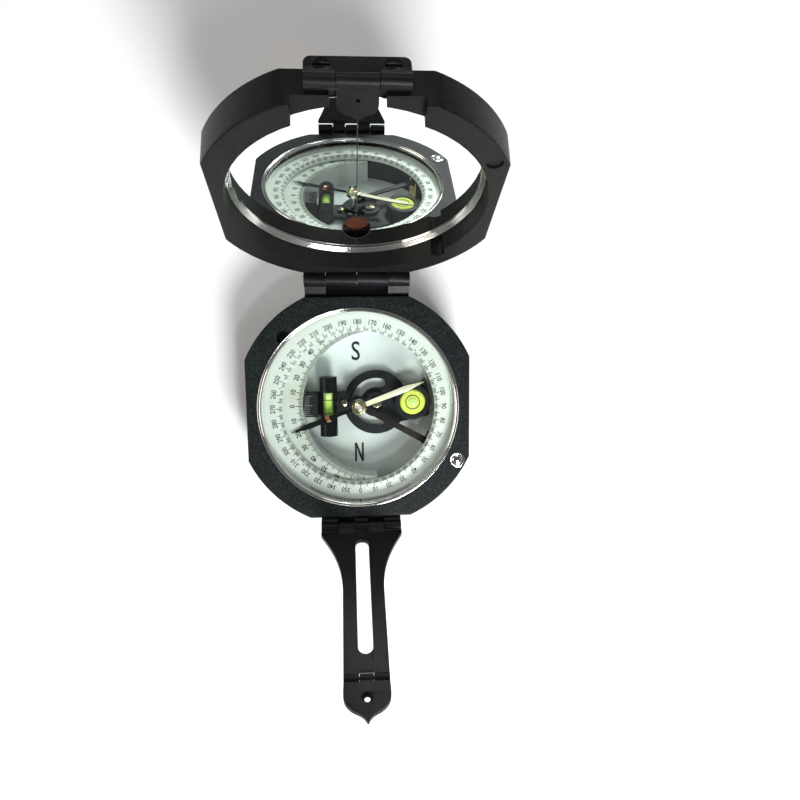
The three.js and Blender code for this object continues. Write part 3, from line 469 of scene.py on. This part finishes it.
def arc_points(radius, start, end):
    steps = 16
    angles = [math.radians(start + (end - start) * i / steps) for i in range(steps + 1)]
    return [(radius * math.cos(a), radius * math.sin(a)) for a in angles]


MARK_SUNK = 0.01
MARK_RAISED = 0.03


def tick(degrees, inner, outer, half_width):
    """A thin raised bar along a radius: inner and outer are (radius, height) on the surface."""
    a = math.radians(degrees)
    out, side = Vector((math.cos(a), math.sin(a), 0)), Vector((-math.sin(a), math.cos(a), 0))
    verts = []
    for lift in (-MARK_SUNK, MARK_RAISED):
        for (r, z), sign in ((inner, -1), (inner, 1), (outer, 1), (outer, -1)):
            verts.append(out * r + side * half_width * sign + Vector((0, 0, z + lift)))
    faces = [(3, 2, 1, 0), (4, 5, 6, 7), (0, 1, 5, 4), (1, 2, 6, 5), (2, 3, 7, 6), (3, 0, 4, 7)]
    return verts, faces


CAPITAL_PER_SIZE = 0.73
LETTER_THICKNESS = 0.04


def lettering(text, height, narrow, heavier):
    """Centred text in Blender's own font as a closed flat mesh, lying in XY, of that height."""
    curve = bpy.data.curves.new("lettering", "FONT")
    curve.body = text
    curve.size = height / CAPITAL_PER_SIZE
    curve.extrude = LETTER_THICKNESS / 2
    curve.offset = heavier
    curve.resolution_u = 3
    obj = bpy.data.objects.new("lettering", curve)
    bpy.context.scene.collection.objects.link(obj)
    bpy.context.view_layer.update()
    mesh = bpy.data.meshes.new_from_object(obj.evaluated_get(bpy.context.evaluated_depsgraph_get()))
    bm = bmesh.new()
    bm.from_mesh(mesh)
    bmesh.ops.remove_doubles(bm, verts=bm.verts, dist=1e-4)
    bm.verts.index_update()
    xs = [v.co.x for v in bm.verts]
    ys = [v.co.y for v in bm.verts]
    middle = ((min(xs) + max(xs)) / 2, (min(ys) + max(ys)) / 2)
    verts = [((v.co.x - middle[0]) * narrow, v.co.y - middle[1], v.co.z) for v in bm.verts]
    faces = [tuple(v.index for v in f.verts) for f in bm.faces]
    bm.free()
    bpy.data.objects.remove(obj)
    bpy.data.curves.remove(curve)
    bpy.data.meshes.remove(mesh)
    return verts, faces


def outward(shape, degrees, radius, z):
    """A lettering shape placed at a radius with its tops pointing outwards."""
    a = math.radians(degrees)
    c, s = math.cos(a), math.sin(a)
    verts, faces = shape
    placed = [(c * (radius + y) + s * x, s * (radius + y) - c * x, z + h) for x, y, h in verts]
    return placed, faces


# ---------- camera, floor and light ----------

CAMERA_LENS = 30.876
CAMERA_PLACE = Vector((-2.967, 33.522, 233.183)) * MM
# The camera's turn away from straight down, as an axis whose length is the angle in radians
CAMERA_TURN = Vector((-0.1431, -0.0748, -0.0154))
FLOOR_HALF = 3.0
FLOOR_GAP = 0.0001

# Brightness of the room from straight below (0) through the horizon (0.5) to straight above (1)
ROOM = [(0.0, 0.55), (0.5, 0.50), (0.62, 1.0), (0.84, 0.85), (0.95, 0.34), (1.0, 0.22)]
ROOM_STRENGTH = 0.3

# name: place, target, size in metres, watts, colour
DIAL_MIDDLE = (0, 0.01, 0.02)
LAMPS = {
    "key": ((0.20, -0.50, 0.50), DIAL_MIDDLE, 0.26, 6.8, (0.97, 0.99, 1.0)),
    "glint": ((0.14, -0.22, 0.62), DIAL_MIDDLE, 0.07, 0.5, (0.90, 0.96, 1.0)),
    "side": ((-0.55, -0.05, 0.42), DIAL_MIDDLE, 0.40, 1.1, (1.0, 0.95, 0.86)),
    "back": ((0.10, 0.62, 0.55), (0, 0.05, 0.05), 0.45, 1.0, (1.0, 1.0, 1.0)),
}


def make_camera():
    data = bpy.data.cameras.new("camera")
    data.lens = CAMERA_LENS
    data.sensor_width = 36
    camera = bpy.data.objects.new("camera", data)
    bpy.context.scene.collection.objects.link(camera)
    turn = Matrix.Rotation(CAMERA_TURN.length, 4, CAMERA_TURN.normalized())
    camera.matrix_world = Matrix.Translation(CAMERA_PLACE) @ turn
    bpy.context.scene.camera = camera


def make_floor():
    n = Nodes("pale_floor")
    n.colour(n.ramp(n.noise(0.004, 2), [(0.3, (0.93, 0.93, 0.93)), (0.7, (0.96, 0.96, 0.96))]))
    n.set(Roughness=0.9, Specular_IOR_Level=0.1)
    mesh = bpy.data.meshes.new("floor")
    corners = [(x * FLOOR_HALF, y * FLOOR_HALF, 0) for x, y in ((-1, -1), (1, -1), (1, 1), (-1, 1))]
    mesh.from_pydata(corners, [], [(0, 1, 2, 3)])
    mesh.materials.append(n.mat)
    floor = bpy.data.objects.new("floor", mesh)
    bpy.context.scene.collection.objects.link(floor)
    floor.location.z = CAD_BOX[0].z - FLOOR_GAP


def area_light(name, location, target, size, power, colour):
    data = bpy.data.lights.new(name, "AREA")
    data.shape = "DISK"
    data.size = size
    data.energy = power
    data.color = colour
    light = bpy.data.objects.new(name, data)
    light.location = location
    light.rotation_euler = (Vector(target) - Vector(location)).to_track_quat("-Z", "Y").to_euler()
    bpy.context.scene.collection.objects.link(light)


def make_room():
    """Soft light from all round, brightest a little above the horizon."""
    world = bpy.data.worlds.new("studio")
    bpy.context.scene.world = world
    world.use_nodes = True
    tree = world.node_tree
    coords = tree.nodes.new("ShaderNodeTexCoord")
    split = tree.nodes.new("ShaderNodeSeparateXYZ")
    ramp = tree.nodes.new("ShaderNodeValToRGB")
    while len(ramp.color_ramp.elements) < len(ROOM):
        ramp.color_ramp.elements.new(0.5)
    for element, (at, value) in zip(ramp.color_ramp.elements, ROOM):
        element.position = at
        element.color = (value, value, value * 1.01, 1)
    height = tree.nodes.new("ShaderNodeMath")
    height.operation = "MULTIPLY_ADD"
    height.inputs[1].default_value = 0.5
    height.inputs[2].default_value = 0.5
    tree.links.new(coords.outputs["Generated"], split.inputs["Vector"])
    tree.links.new(split.outputs["Z"], height.inputs[0])
    tree.links.new(height.outputs["Value"], ramp.inputs["Fac"])
    tree.links.new(ramp.outputs["Color"], tree.nodes["Background"].inputs["Color"])
    tree.nodes["Background"].inputs["Strength"].default_value = ROOM_STRENGTH


def make_lamps():
    for name, (place, target, size, power, colour) in LAMPS.items():
        area_light(name, place, target, size, power, colour)


# ---------- the frame's own pieces ----------

# node: material, rounded edge in mm
FINISHES = {
    "base_case": (CASE_PAINT, 0.18),
    "lid_shell": (SHADED_LID_PAINT, 0.18),
    "dial_plate": (DIAL_WHITE, 0),
    "clinometer_scale": (SCALE_WHITE, 0.06),
    "azimuth_ring": (RING_WHITE, 0),
    "index_ring": (RING_WHITE, 0),
    "glass_gasket": (RUBBER, 0),
    "dial_glass": (DIAL_GLASS, 0),
    "shaft_bush": (BRASS, 0.1),
    "declination_screw": (BRASS, 0),
    "button_collar": (CHROME, 0.1),
    "button_spring": (STEEL, 0),
    "lift_lever": (LEVER_BROWN, 0.1),
    "lever_bracket": (BRASS, 0.1),
    "lever_pin": (STEEL, 0),
    "lid_hinge_base_leaf": (HINGE_BLACK, 0.12),
    "lid_hinge_lid_leaf": (HINGE_BLACK, 0.12),
    "lid_hinge_pin": (SEAM_SHADED_BRASS, 0.1),
    "arm_hinge_leaf": (ARM_BLACK, 0.12),
    "arm_hinge_pin": (ARM_BLACK, 0.1),
    "base_leaf_screw_left": (ARM_BLACK, 0.06),
    "base_leaf_screw_right": (ARM_BLACK, 0.06),
    "arm_leaf_screw_left": (ARM_BLACK, 0.06),
    "arm_leaf_screw_right": (ARM_BLACK, 0.06),
    "lid_leaf_screw_left": (ARM_BLACK, 0.06),
    "lid_leaf_screw_right": (ARM_BLACK, 0.06),
    "peep_screw_left": (GLOSS_BLACK, 0.06),
    "peep_screw_right": (GLOSS_BLACK, 0.06),
    "peep_mount_plate": (ARM_BLACK, 0.15),
    "peep_pin": (ARM_BLACK, 0.1),
    "peep_sight": (ARM_BLACK, 0.12),
    "sight_arm": (ARM_BLACK, 0.16),
    "tip_pin": (ARM_BLACK, 0.06),
    "sight_tip": (ARM_BLACK, 0.14),
    "needle_pivot": (STEEL, 0),
    "needle_jewel": (RUBY, 0.05),
    "clinometer_carrier": (PLATE_BLACK, 0.12),
    "pivot_bridge": (PLATE_BLACK, 0.1),
    "clinometer_shaft": (STEEL, 0),
    "tube_level_housing": (GLOSS_BLACK, 0.1),
    "tube_level_cap_front": (PLATE_BLACK, 0.1),
    "tube_level_cap_rear": (PLATE_BLACK, 0.1),
    "tube_level_vial": (TUBE_GREEN, 0.1),
    "round_level_housing": (PLATE_BLACK, 0.2),
    "round_level_vial": (ROUND_GREEN, 0),
    "vernier_block": (PLATE_BLACK, 0.12),
    "back_lever": (ARM_BLACK, 0.2),
    "lever_screw": (BRASS, 0.1),
    "friction_washer": (STEEL, 0),
    "carrier_screw": (PALE_BRASS, 0.08),
    "axle_screw": (PALE_BRASS, 0.08),
}


def finish_frame_pieces():
    for name, (material, edge) in FINISHES.items():
        obj = frame["nodes"][name]
        for slot in obj.material_slots:
            slot.link = "OBJECT"
            slot.material = material
        smooth(obj, edge)


# ---------- pieces that stand for CAD nodes ----------

def bezel():
    """Two polished beads with a dark groove between them."""
    low, high = bottom_of("bezel_ring"), top_of("bezel_ring")
    outer_bead = [
        (31.68, low), (31.68, high - 0.12), (31.6, high - 0.03), (31.48, high), (31.36, high - 0.04),
        (31.27, high - 0.16),
    ]
    groove = [(31.25, low + 0.12), (31.08, low + 0.12)]
    inner_bead = [
        (31.05, high - 0.3), (30.96, high - 0.12), (30.8, high - 0.05), (30.6, high - 0.14),
        (30.44, high - 0.36), (30.34, low + 0.3), (30.3, low),
    ]
    profile = outer_bead + groove + inner_bead
    obj = piece("bezel", *lathe(profile, 240), "case", "chromed_brass", CHROME)
    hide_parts("bezel_ring")


def button_dome():
    """The lock button with its domed head."""
    x, y = (sum(c[k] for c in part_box("button_collar")) / 2 / MM for k in (0, 1))
    low, high = bottom_of("lock_button"), top_of("lock_button")
    stem_and_flange = [
        (0, low), (0.8, low), (0.8, low + 2.6), (2.25, low + 2.6), (2.25, low + 3.7), (1.7, low + 3.7),
    ]
    dome = [
        (1.7, high - 0.72), (1.64, high - 0.45), (1.45, high - 0.22), (1.1, high - 0.07), (0.6, high),
        (0, high),
    ]
    solid = lathe(stem_and_flange + dome, 64, (x, y))
    obj = piece("button_dome", *solid, "button", "chromed_brass", CHROME)
    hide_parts("lock_button")


def mirror_bezel():
    """The stepped ring that holds the mirror, with its fine turned lines."""
    low, high = 25.1, 26.3
    profile = [(32.2, high), (30.9, high), (30.9, high - 0.25)]
    steps = 4
    for i in range(steps):
        r = 30.95 + i * 0.29
        z = high - 0.28 - i * (high - low - 0.3) / steps
        profile += [(r, z), (r + 0.06, z - 0.06), (r + 0.15, z - 0.08)]
        profile += [(r + 0.22, z - 0.03), (r + 0.26, z - 0.14)]
    profile += [(32.12, low + 0.02), (32.2, low + 0.1)]
    obj = piece("mirror_bezel", *lathe(profile, 240), "lid", "chromed_brass", CHROME, SHUT_TO_REST)
    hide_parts("mirror_ring")


# The lid's own pieces are made in the shut lid's place and then turned open with it.
WINDOW = {"y": 20.4, "half_width": 3.9, "half_length": 5.55}
MIRROR = {"radius": 32.15, "front": 26.4, "back": 27.5}


def window_point(angle, grow=0.0):
    """A point of the oval window's outline, or of one a little larger or smaller."""
    x = (WINDOW["half_width"] + grow) * math.cos(angle)
    return x, WINDOW["y"] + (WINDOW["half_length"] + grow) * math.sin(angle)


def mirror():
    """A silvered pane with a clear oval, in one piece of glass; the oval's brown tint is a painted view
    of a table beyond it.
    """
    count = 192
    centre = Vector((0, WINDOW["y"]))
    verts = []
    for z in (MIRROR["front"], MIRROR["back"]):
        oval, rim = [], []
        for i in range(count):
            a = 2 * math.pi * i / count
            oval.append((*window_point(a), z))
            direction = Vector((math.cos(a), math.sin(a)))
            reach = -centre.dot(direction)
            reach += math.sqrt(reach * reach + MIRROR["radius"] ** 2 - centre.length_squared)
            rim.append((*(centre + direction * reach), z))
        verts += oval + rim
    front, back = 0, 2 * count
    faces, kinds = [], []
    for oval in (front, back):
        faces += band(oval, oval + count, count)
        faces.append(tuple(oval + i for i in range(count)))
        kinds += [0] * count + [1]
    faces += band(front + count, back + count, count)
    kinds += [0] * count
    panes = [SILVER, WINDOW_GLASS]
    obj = piece("mirror_pane", verts, faces, "lid", "mirror_glass", panes, SHUT_TO_REST, kinds)
    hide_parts("mirror")


def sight_line():
    """The black line down the mirror and the fine border of its oval window."""
    half, reach, count = 0.12, 30.8, 96
    low, high = MIRROR["front"] - 0.02, MIRROR["front"] + 0.02
    parts = Parts()
    near, far = WINDOW["y"] - WINDOW["half_length"], WINDOW["y"] + WINDOW["half_length"]
    for y0, y1 in ((-reach, near), (far, reach)):
        parts.add(*prism([(-half, y0), (half, y0), (half, y1), (-half, y1)], low, high))
    angles = [2 * math.pi * i / count for i in range(count)]
    verts = [(*window_point(a, grow), z) for z in (low, high) for grow in (half, -half) for a in angles]
    low_outer, low_inner, high_outer, high_inner = (k * count for k in range(4))
    loops = [low_outer, low_inner, high_inner, high_outer, low_outer]
    faces = [quad for a, b in zip(loops, loops[1:]) for quad in band(a, b, count)]
    parts.add(verts, faces)
    parts.make("sight_line", "lid", "black_enamel", BOLD_INK, SHUT_TO_REST)


BLADE_HEEL = 2.5
BLADE_TIP = 23.3


def blade_outline(root, wide, widest_at):
    """The blade's edge seen from above, along +X, and its flat top or bottom inside that."""
    edge = [
        (BLADE_HEEL, -root), (widest_at, -wide), (BLADE_TIP, -0.07),
        (BLADE_TIP, 0.07), (widest_at, wide), (BLADE_HEEL, root),
    ]
    flat_root, flat_wide, flat_tip = root - 0.12, wide - 0.16, BLADE_TIP - 0.9
    flat = [
        (BLADE_HEEL, -flat_root), (widest_at, -flat_wide), (flat_tip, -0.02),
        (flat_tip, 0.02), (widest_at, flat_wide), (BLADE_HEEL, flat_root),
    ]
    return edge, flat


def blade(name, node, slot, sign, shape, top_material):
    """One half of the needle, chamfered all round, with its own colour on top."""
    low, high = bottom_of(node), top_of(node)
    middle = (low + high) / 2
    edge, flat = blade_outline(*shape)
    rows = [(flat, low), (edge, middle - 0.06), (edge, middle + 0.06), (flat, high)]
    verts = [(x * sign, y * sign, z) for row, z in rows for x, y in row]
    count = len(edge)
    faces = [tuple(reversed(range(count)))]
    for k in range(len(rows) - 1):
        faces += band(k * count, (k + 1) * count, count)
    kinds = [0] * len(faces) + [1]
    faces.append(tuple(range(3 * count, 4 * count)))
    obj = piece(name, verts, faces, "needle", slot, [GLOSS_BLACK, top_material], NEEDLE_TURN, kinds)
    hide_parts(node)


def needle():
    blade("north_blade", "needle_north", "cream_enamel", 1, (0.9, 1.15, 16.5), NEEDLE_CREAM)
    blade("south_blade", "needle_south", "black_enamel", -1, (0.5, 0.95, 17.0), GLOSS_BLACK)


def needle_hub():
    """The turned cap over the pivot, with its rings and recess."""
    high = top_of("needle_cap")
    low = bottom_of("needle_cap")
    skirt = [
        (1.3, low), (2.35, low), (2.45, low + 0.1), (2.45, low + 1.3), (2.37, low + 1.42),
        (2.2, low + 1.45), (2.12, low + 1.3), (2.02, low + 1.3),
    ]
    outer_ring = [
        (1.94, high - 0.12), (1.84, high - 0.02), (1.6, high), (1.46, high - 0.1), (1.4, high - 0.3),
    ]
    inner_ring = [
        (1.22, high - 0.32), (1.16, high - 0.06), (1.0, high), (0.86, high - 0.06), (0.8, high - 0.4),
    ]
    bore = [(0.98, high - 0.4), (0.98, low + 0.85), (1.3, low + 0.85)]
    profile = skirt + outer_ring + inner_ring + bore
    obj = piece("needle_hub", *lathe(profile, 96), "needle", "brass", PALE_BRASS)
    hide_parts("needle_cap")


def tube_along(points, radius):
    """A closed tube of round section along points, capped at both ends."""
    sides = 10
    verts, faces = [], []
    up = Vector((0, 0, 1))
    for k, point in enumerate(points):
        ahead = points[min(k + 1, len(points) - 1)] - points[max(k - 1, 0)]
        ahead.normalize()
        side = ahead.cross(up)
        if side.length < 0.1:
            side = ahead.cross(Vector((1, 0, 0)))
        side.normalize()
        up = side.cross(ahead)
        for i in range(sides):
            a = 2 * math.pi * i / sides
            verts.append(point + side * radius * math.cos(a) + up * radius * math.sin(a))
    for k in range(len(points) - 1):
        faces += band(k * sides, (k + 1) * sides, sides)
    faces.append(tuple(reversed(range(sides))))
    last = (len(points) - 1) * sides
    faces.append(tuple(range(last, last + sides)))
    return verts, faces


def balance_wire():
    """Fine copper wire wound tightly on the south half."""
    turns, steps, wire_radius = 5, 28, 0.13
    start, length = -11.16, 1.32
    half_width, half_height = 1.12, 0.5
    middle = (bottom_of("needle_north") + top_of("needle_north")) / 2
    points = []
    for i in range(turns * steps + 1):
        a = 2 * math.pi * i / steps
        x = start + length * i / (turns * steps)
        points.append(Vector((x, half_width * math.cos(a), middle + half_height * math.sin(a))))
    verts, faces = tube_along(points, wire_radius)
    obj = piece("balance_wire", verts, faces, "needle", "copper_wire", COPPER, NEEDLE_TURN)
    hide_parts("balance_coil")


# ---------- marks ----------

NUMBER_HEIGHT = 1.6

# Radii on the turning ring: its bevel's foot and edge, the ends of the ticks, the numbers
AZIMUTH = {"foot": 24.36, "edge": 25.2, "five": 25.85, "ten": 26.2, "numbers": 27.2}
# Radii on the tilt scale, from the clinometer's axle
TILT = {"edge": 23.68, "one": 24.93, "five": 25.58, "ten": 25.78, "numbers": 26.9}
TILT_END = 80
LAST_TILT_NUMBER = 70
# Start and end radii of the fixed ticks in front of the ring
INDEX = {"one": (29.64, 30.3), "five": (29.62, 30.55), "middle": (29.62, 30.85)}
INDEX_END = 32


def azimuth_marks():
    """Numbers each 10 degrees from 0 at the front, ticks each 5, fine ticks each degree on the bevel."""
    top = top_of("azimuth_ring")
    fine, figures = Parts(), Parts()
    for degree in range(360):
        at = degree - 90
        fine.add(*tick(at, (AZIMUTH["foot"], top - 0.84), (AZIMUTH["edge"], top), 0.11))
        if degree % 5 == 0:
            end = AZIMUTH["ten"] if degree % 10 == 0 else AZIMUTH["five"]
            figures.add(*tick(at, (AZIMUTH["edge"] - 0.02, top), (end, top), 0.1))
        if degree % 10 == 0:
            shape = lettering(str(degree), NUMBER_HEIGHT, narrow=0.86, heavier=0.03)
            figures.add(*outward(shape, at, AZIMUTH["numbers"], top + 0.01))
    fine.make("azimuth_fine_ticks", "graduated_circle", "black_enamel", FINE_INK)
    figures.make("azimuth_figures", "graduated_circle", "black_enamel", FINE_INK)


def tick_kind(degree):
    return "ten" if degree % 10 == 0 else "five" if degree % 5 == 0 else "one"


def clinometer_marks():
    """Both halves of the tilt scale, numbered from 0 at the left, round the clinometer's own axle."""
    top = top_of("clinometer_scale")
    axle = Vector(joint("clinometer_turn")["pos_m"])
    parts = Parts()
    for degree in range(-TILT_END, TILT_END + 1):
        at = 180 - degree
        width = 0.12 if degree % 5 == 0 else 0.09
        parts.add(*tick(at, (TILT["edge"], top), (TILT[tick_kind(degree)], top), width))
        if degree % 10 == 0 and abs(degree) <= LAST_TILT_NUMBER:
            shape = lettering(str(abs(degree)), NUMBER_HEIGHT, narrow=0.9, heavier=0.05)
            parts.add(*outward(shape, at, TILT["numbers"], top + 0.01))
    matrix = Matrix.Translation(Vector((axle.x, axle.y, 0)))
    parts.make("clinometer_figures", "case", "black_enamel", BOLD_INK, matrix)


def index_marks():
    """The fixed arc of fine ticks at the front, with a longer index at its middle."""
    top = top_of("index_ring")
    parts = Parts()
    for degree in range(-INDEX_END, INDEX_END + 1):
        start, end = INDEX["one"] if degree % 5 else INDEX["five"]
        parts.add(*tick(degree - 90, (start, top), (end, top), 0.11))
    start, end = INDEX["middle"]
    parts.add(*tick(-90, (start, top), (end, top), 0.16))
    parts.make("index_ticks", "case", "black_enamel", BOLD_INK)


# The dial plate's flat top. The plate's own box also takes in the wall under the tilt scale.
DIAL_TOP = 6.9
LETTER_HEIGHT = 6.4


def direction_letters():
    """S and N on the dial plate, tall and narrow."""
    parts = Parts()
    half, stroke, diagonal_width = 1.5, 0.68, 0.75
    middle = -16.6
    foot, head = middle - LETTER_HEIGHT / 2, middle + LETTER_HEIGHT / 2
    low, high = DIAL_TOP - 0.01, DIAL_TOP + 0.05
    for x in (-half, half - stroke):
        parts.add(*prism([(x, foot), (x + stroke, foot), (x + stroke, head), (x, head)], low, high))
    diagonal = [
        (half - diagonal_width, foot), (half, foot), (-half + diagonal_width, head), (-half, head),
    ]
    parts.add(*prism(diagonal, low, high + 0.01))
    verts, faces = lettering("S", LETTER_HEIGHT, narrow=0.8, heavier=0.08)
    parts.add([(x - 0.6, y + 17.4, z + DIAL_TOP + 0.02) for x, y, z in verts], faces)
    parts.make("direction_letters", "case", "black_enamel", BOLD_INK)


# ---------- levels ----------

TUBE = {"x": -9.75, "z": 11.75, "vial": 1.85, "line_half_width": 0.11}
ROUND_LEVEL = {"x": 17.6, "y": 0.7, "circle": 12.1}
VERNIER = {"x": -17.3, "y": 0.5, "step": 0.62}


def capsule(y0, y1, half, top, lift):
    """A low rounded lens along Y that lies on the vial's crown."""
    rows, across = 14, 12
    round_end = 0.65
    verts, faces = [], []
    for k in range(rows + 1):
        t = k / rows
        y = y0 + (y1 - y0) * t
        into_end = max(0.0, abs(2 * t - 1) - (1 - round_end)) / round_end
        fullness = min(1.0, math.sqrt(max(0.0, 1 - into_end ** 2)) + 0.02)
        for i in range(across):
            a = 2 * math.pi * i / across
            x = TUBE["x"] + half * fullness * math.cos(a)
            verts.append((x, y, top + lift * fullness * math.sin(a)))
    for k in range(rows):
        faces += band(k * across, (k + 1) * across, across)
    faces.append(tuple(reversed(range(across))))
    faces.append(tuple(range(rows * across, (rows + 1) * across)))
    return verts, faces


def tube_level():
    """The tube's bubble and the two lines over its vial."""
    crown = TUBE["z"] + TUBE["vial"]
    bubble = capsule(2.3, 4.35, half=0.85, top=crown - 0.1, lift=0.3)
    piece("tube_bubble", *bubble, "clinometer", "vial_fluid", BUBBLE)
    radius = TUBE["vial"] + 0.03
    outline = [
        (TUBE["x"] + x, TUBE["z"] + z)
        for x, z in arc_points(radius, 28, 152) + arc_points(radius - 0.08, 152, 28)
    ]
    parts = Parts()
    for y in (2.05, -2.2):
        verts, faces = prism(outline, y - TUBE["line_half_width"], y + TUBE["line_half_width"])
        parts.add([(x, h, z) for x, z, h in verts], faces)
    parts.make("tube_level_lines", "clinometer", "black_enamel", BOLD_INK)


def round_level():
    """The bubble under the domed cover and the circle round it."""
    centre = (ROUND_LEVEL["x"], ROUND_LEVEL["y"])
    z = ROUND_LEVEL["circle"]
    ring = [(2.4, z), (2.4, z + 0.07), (2.12, z + 0.08), (2.12, z)]
    piece("round_level_circle", *lathe(ring, 72, centre), "clinometer", "black_enamel", BOLD_INK)
    dome = [
        (0, z - 0.1), (1.55, z - 0.1), (1.62, z + 0.02), (1.5, z + 0.14), (1.0, z + 0.24),
        (0.5, z + 0.28), (0, z + 0.29),
    ]
    piece("round_level_bubble", *lathe(dome, 60, centre), "clinometer", "vial_fluid", BUBBLE)


def vernier_marks():
    """Five ticks each way from the vernier's middle line."""
    top = top_of("vernier_block")
    parts = Parts()
    for i in range(-5, 6):
        y = VERNIER["y"] + i * VERNIER["step"]
        half = 0.05 if i else 0.09
        x0, x1 = VERNIER["x"], VERNIER["x"] + (1.5 if i % 5 else 2.4)
        outline = [(x0, y - half), (x1, y - half), (x1, y + half), (x0, y + half)]
        parts.add(*prism(outline, top - MARK_SUNK, top + MARK_RAISED))
    parts.make("vernier_ticks", "clinometer", "white_enamel", PALE_INK)


make_camera()
make_floor()
make_room()
make_lamps()
finish_frame_pieces()
bezel()
button_dome()
mirror_bezel()
mirror()
sight_line()
needle()
needle_hub()
balance_wire()
azimuth_marks()
clinometer_marks()
index_marks()
direction_letters()
tube_level()
round_level()
vernier_marks()

bpy.context.scene.view_settings.view_transform = "Standard"
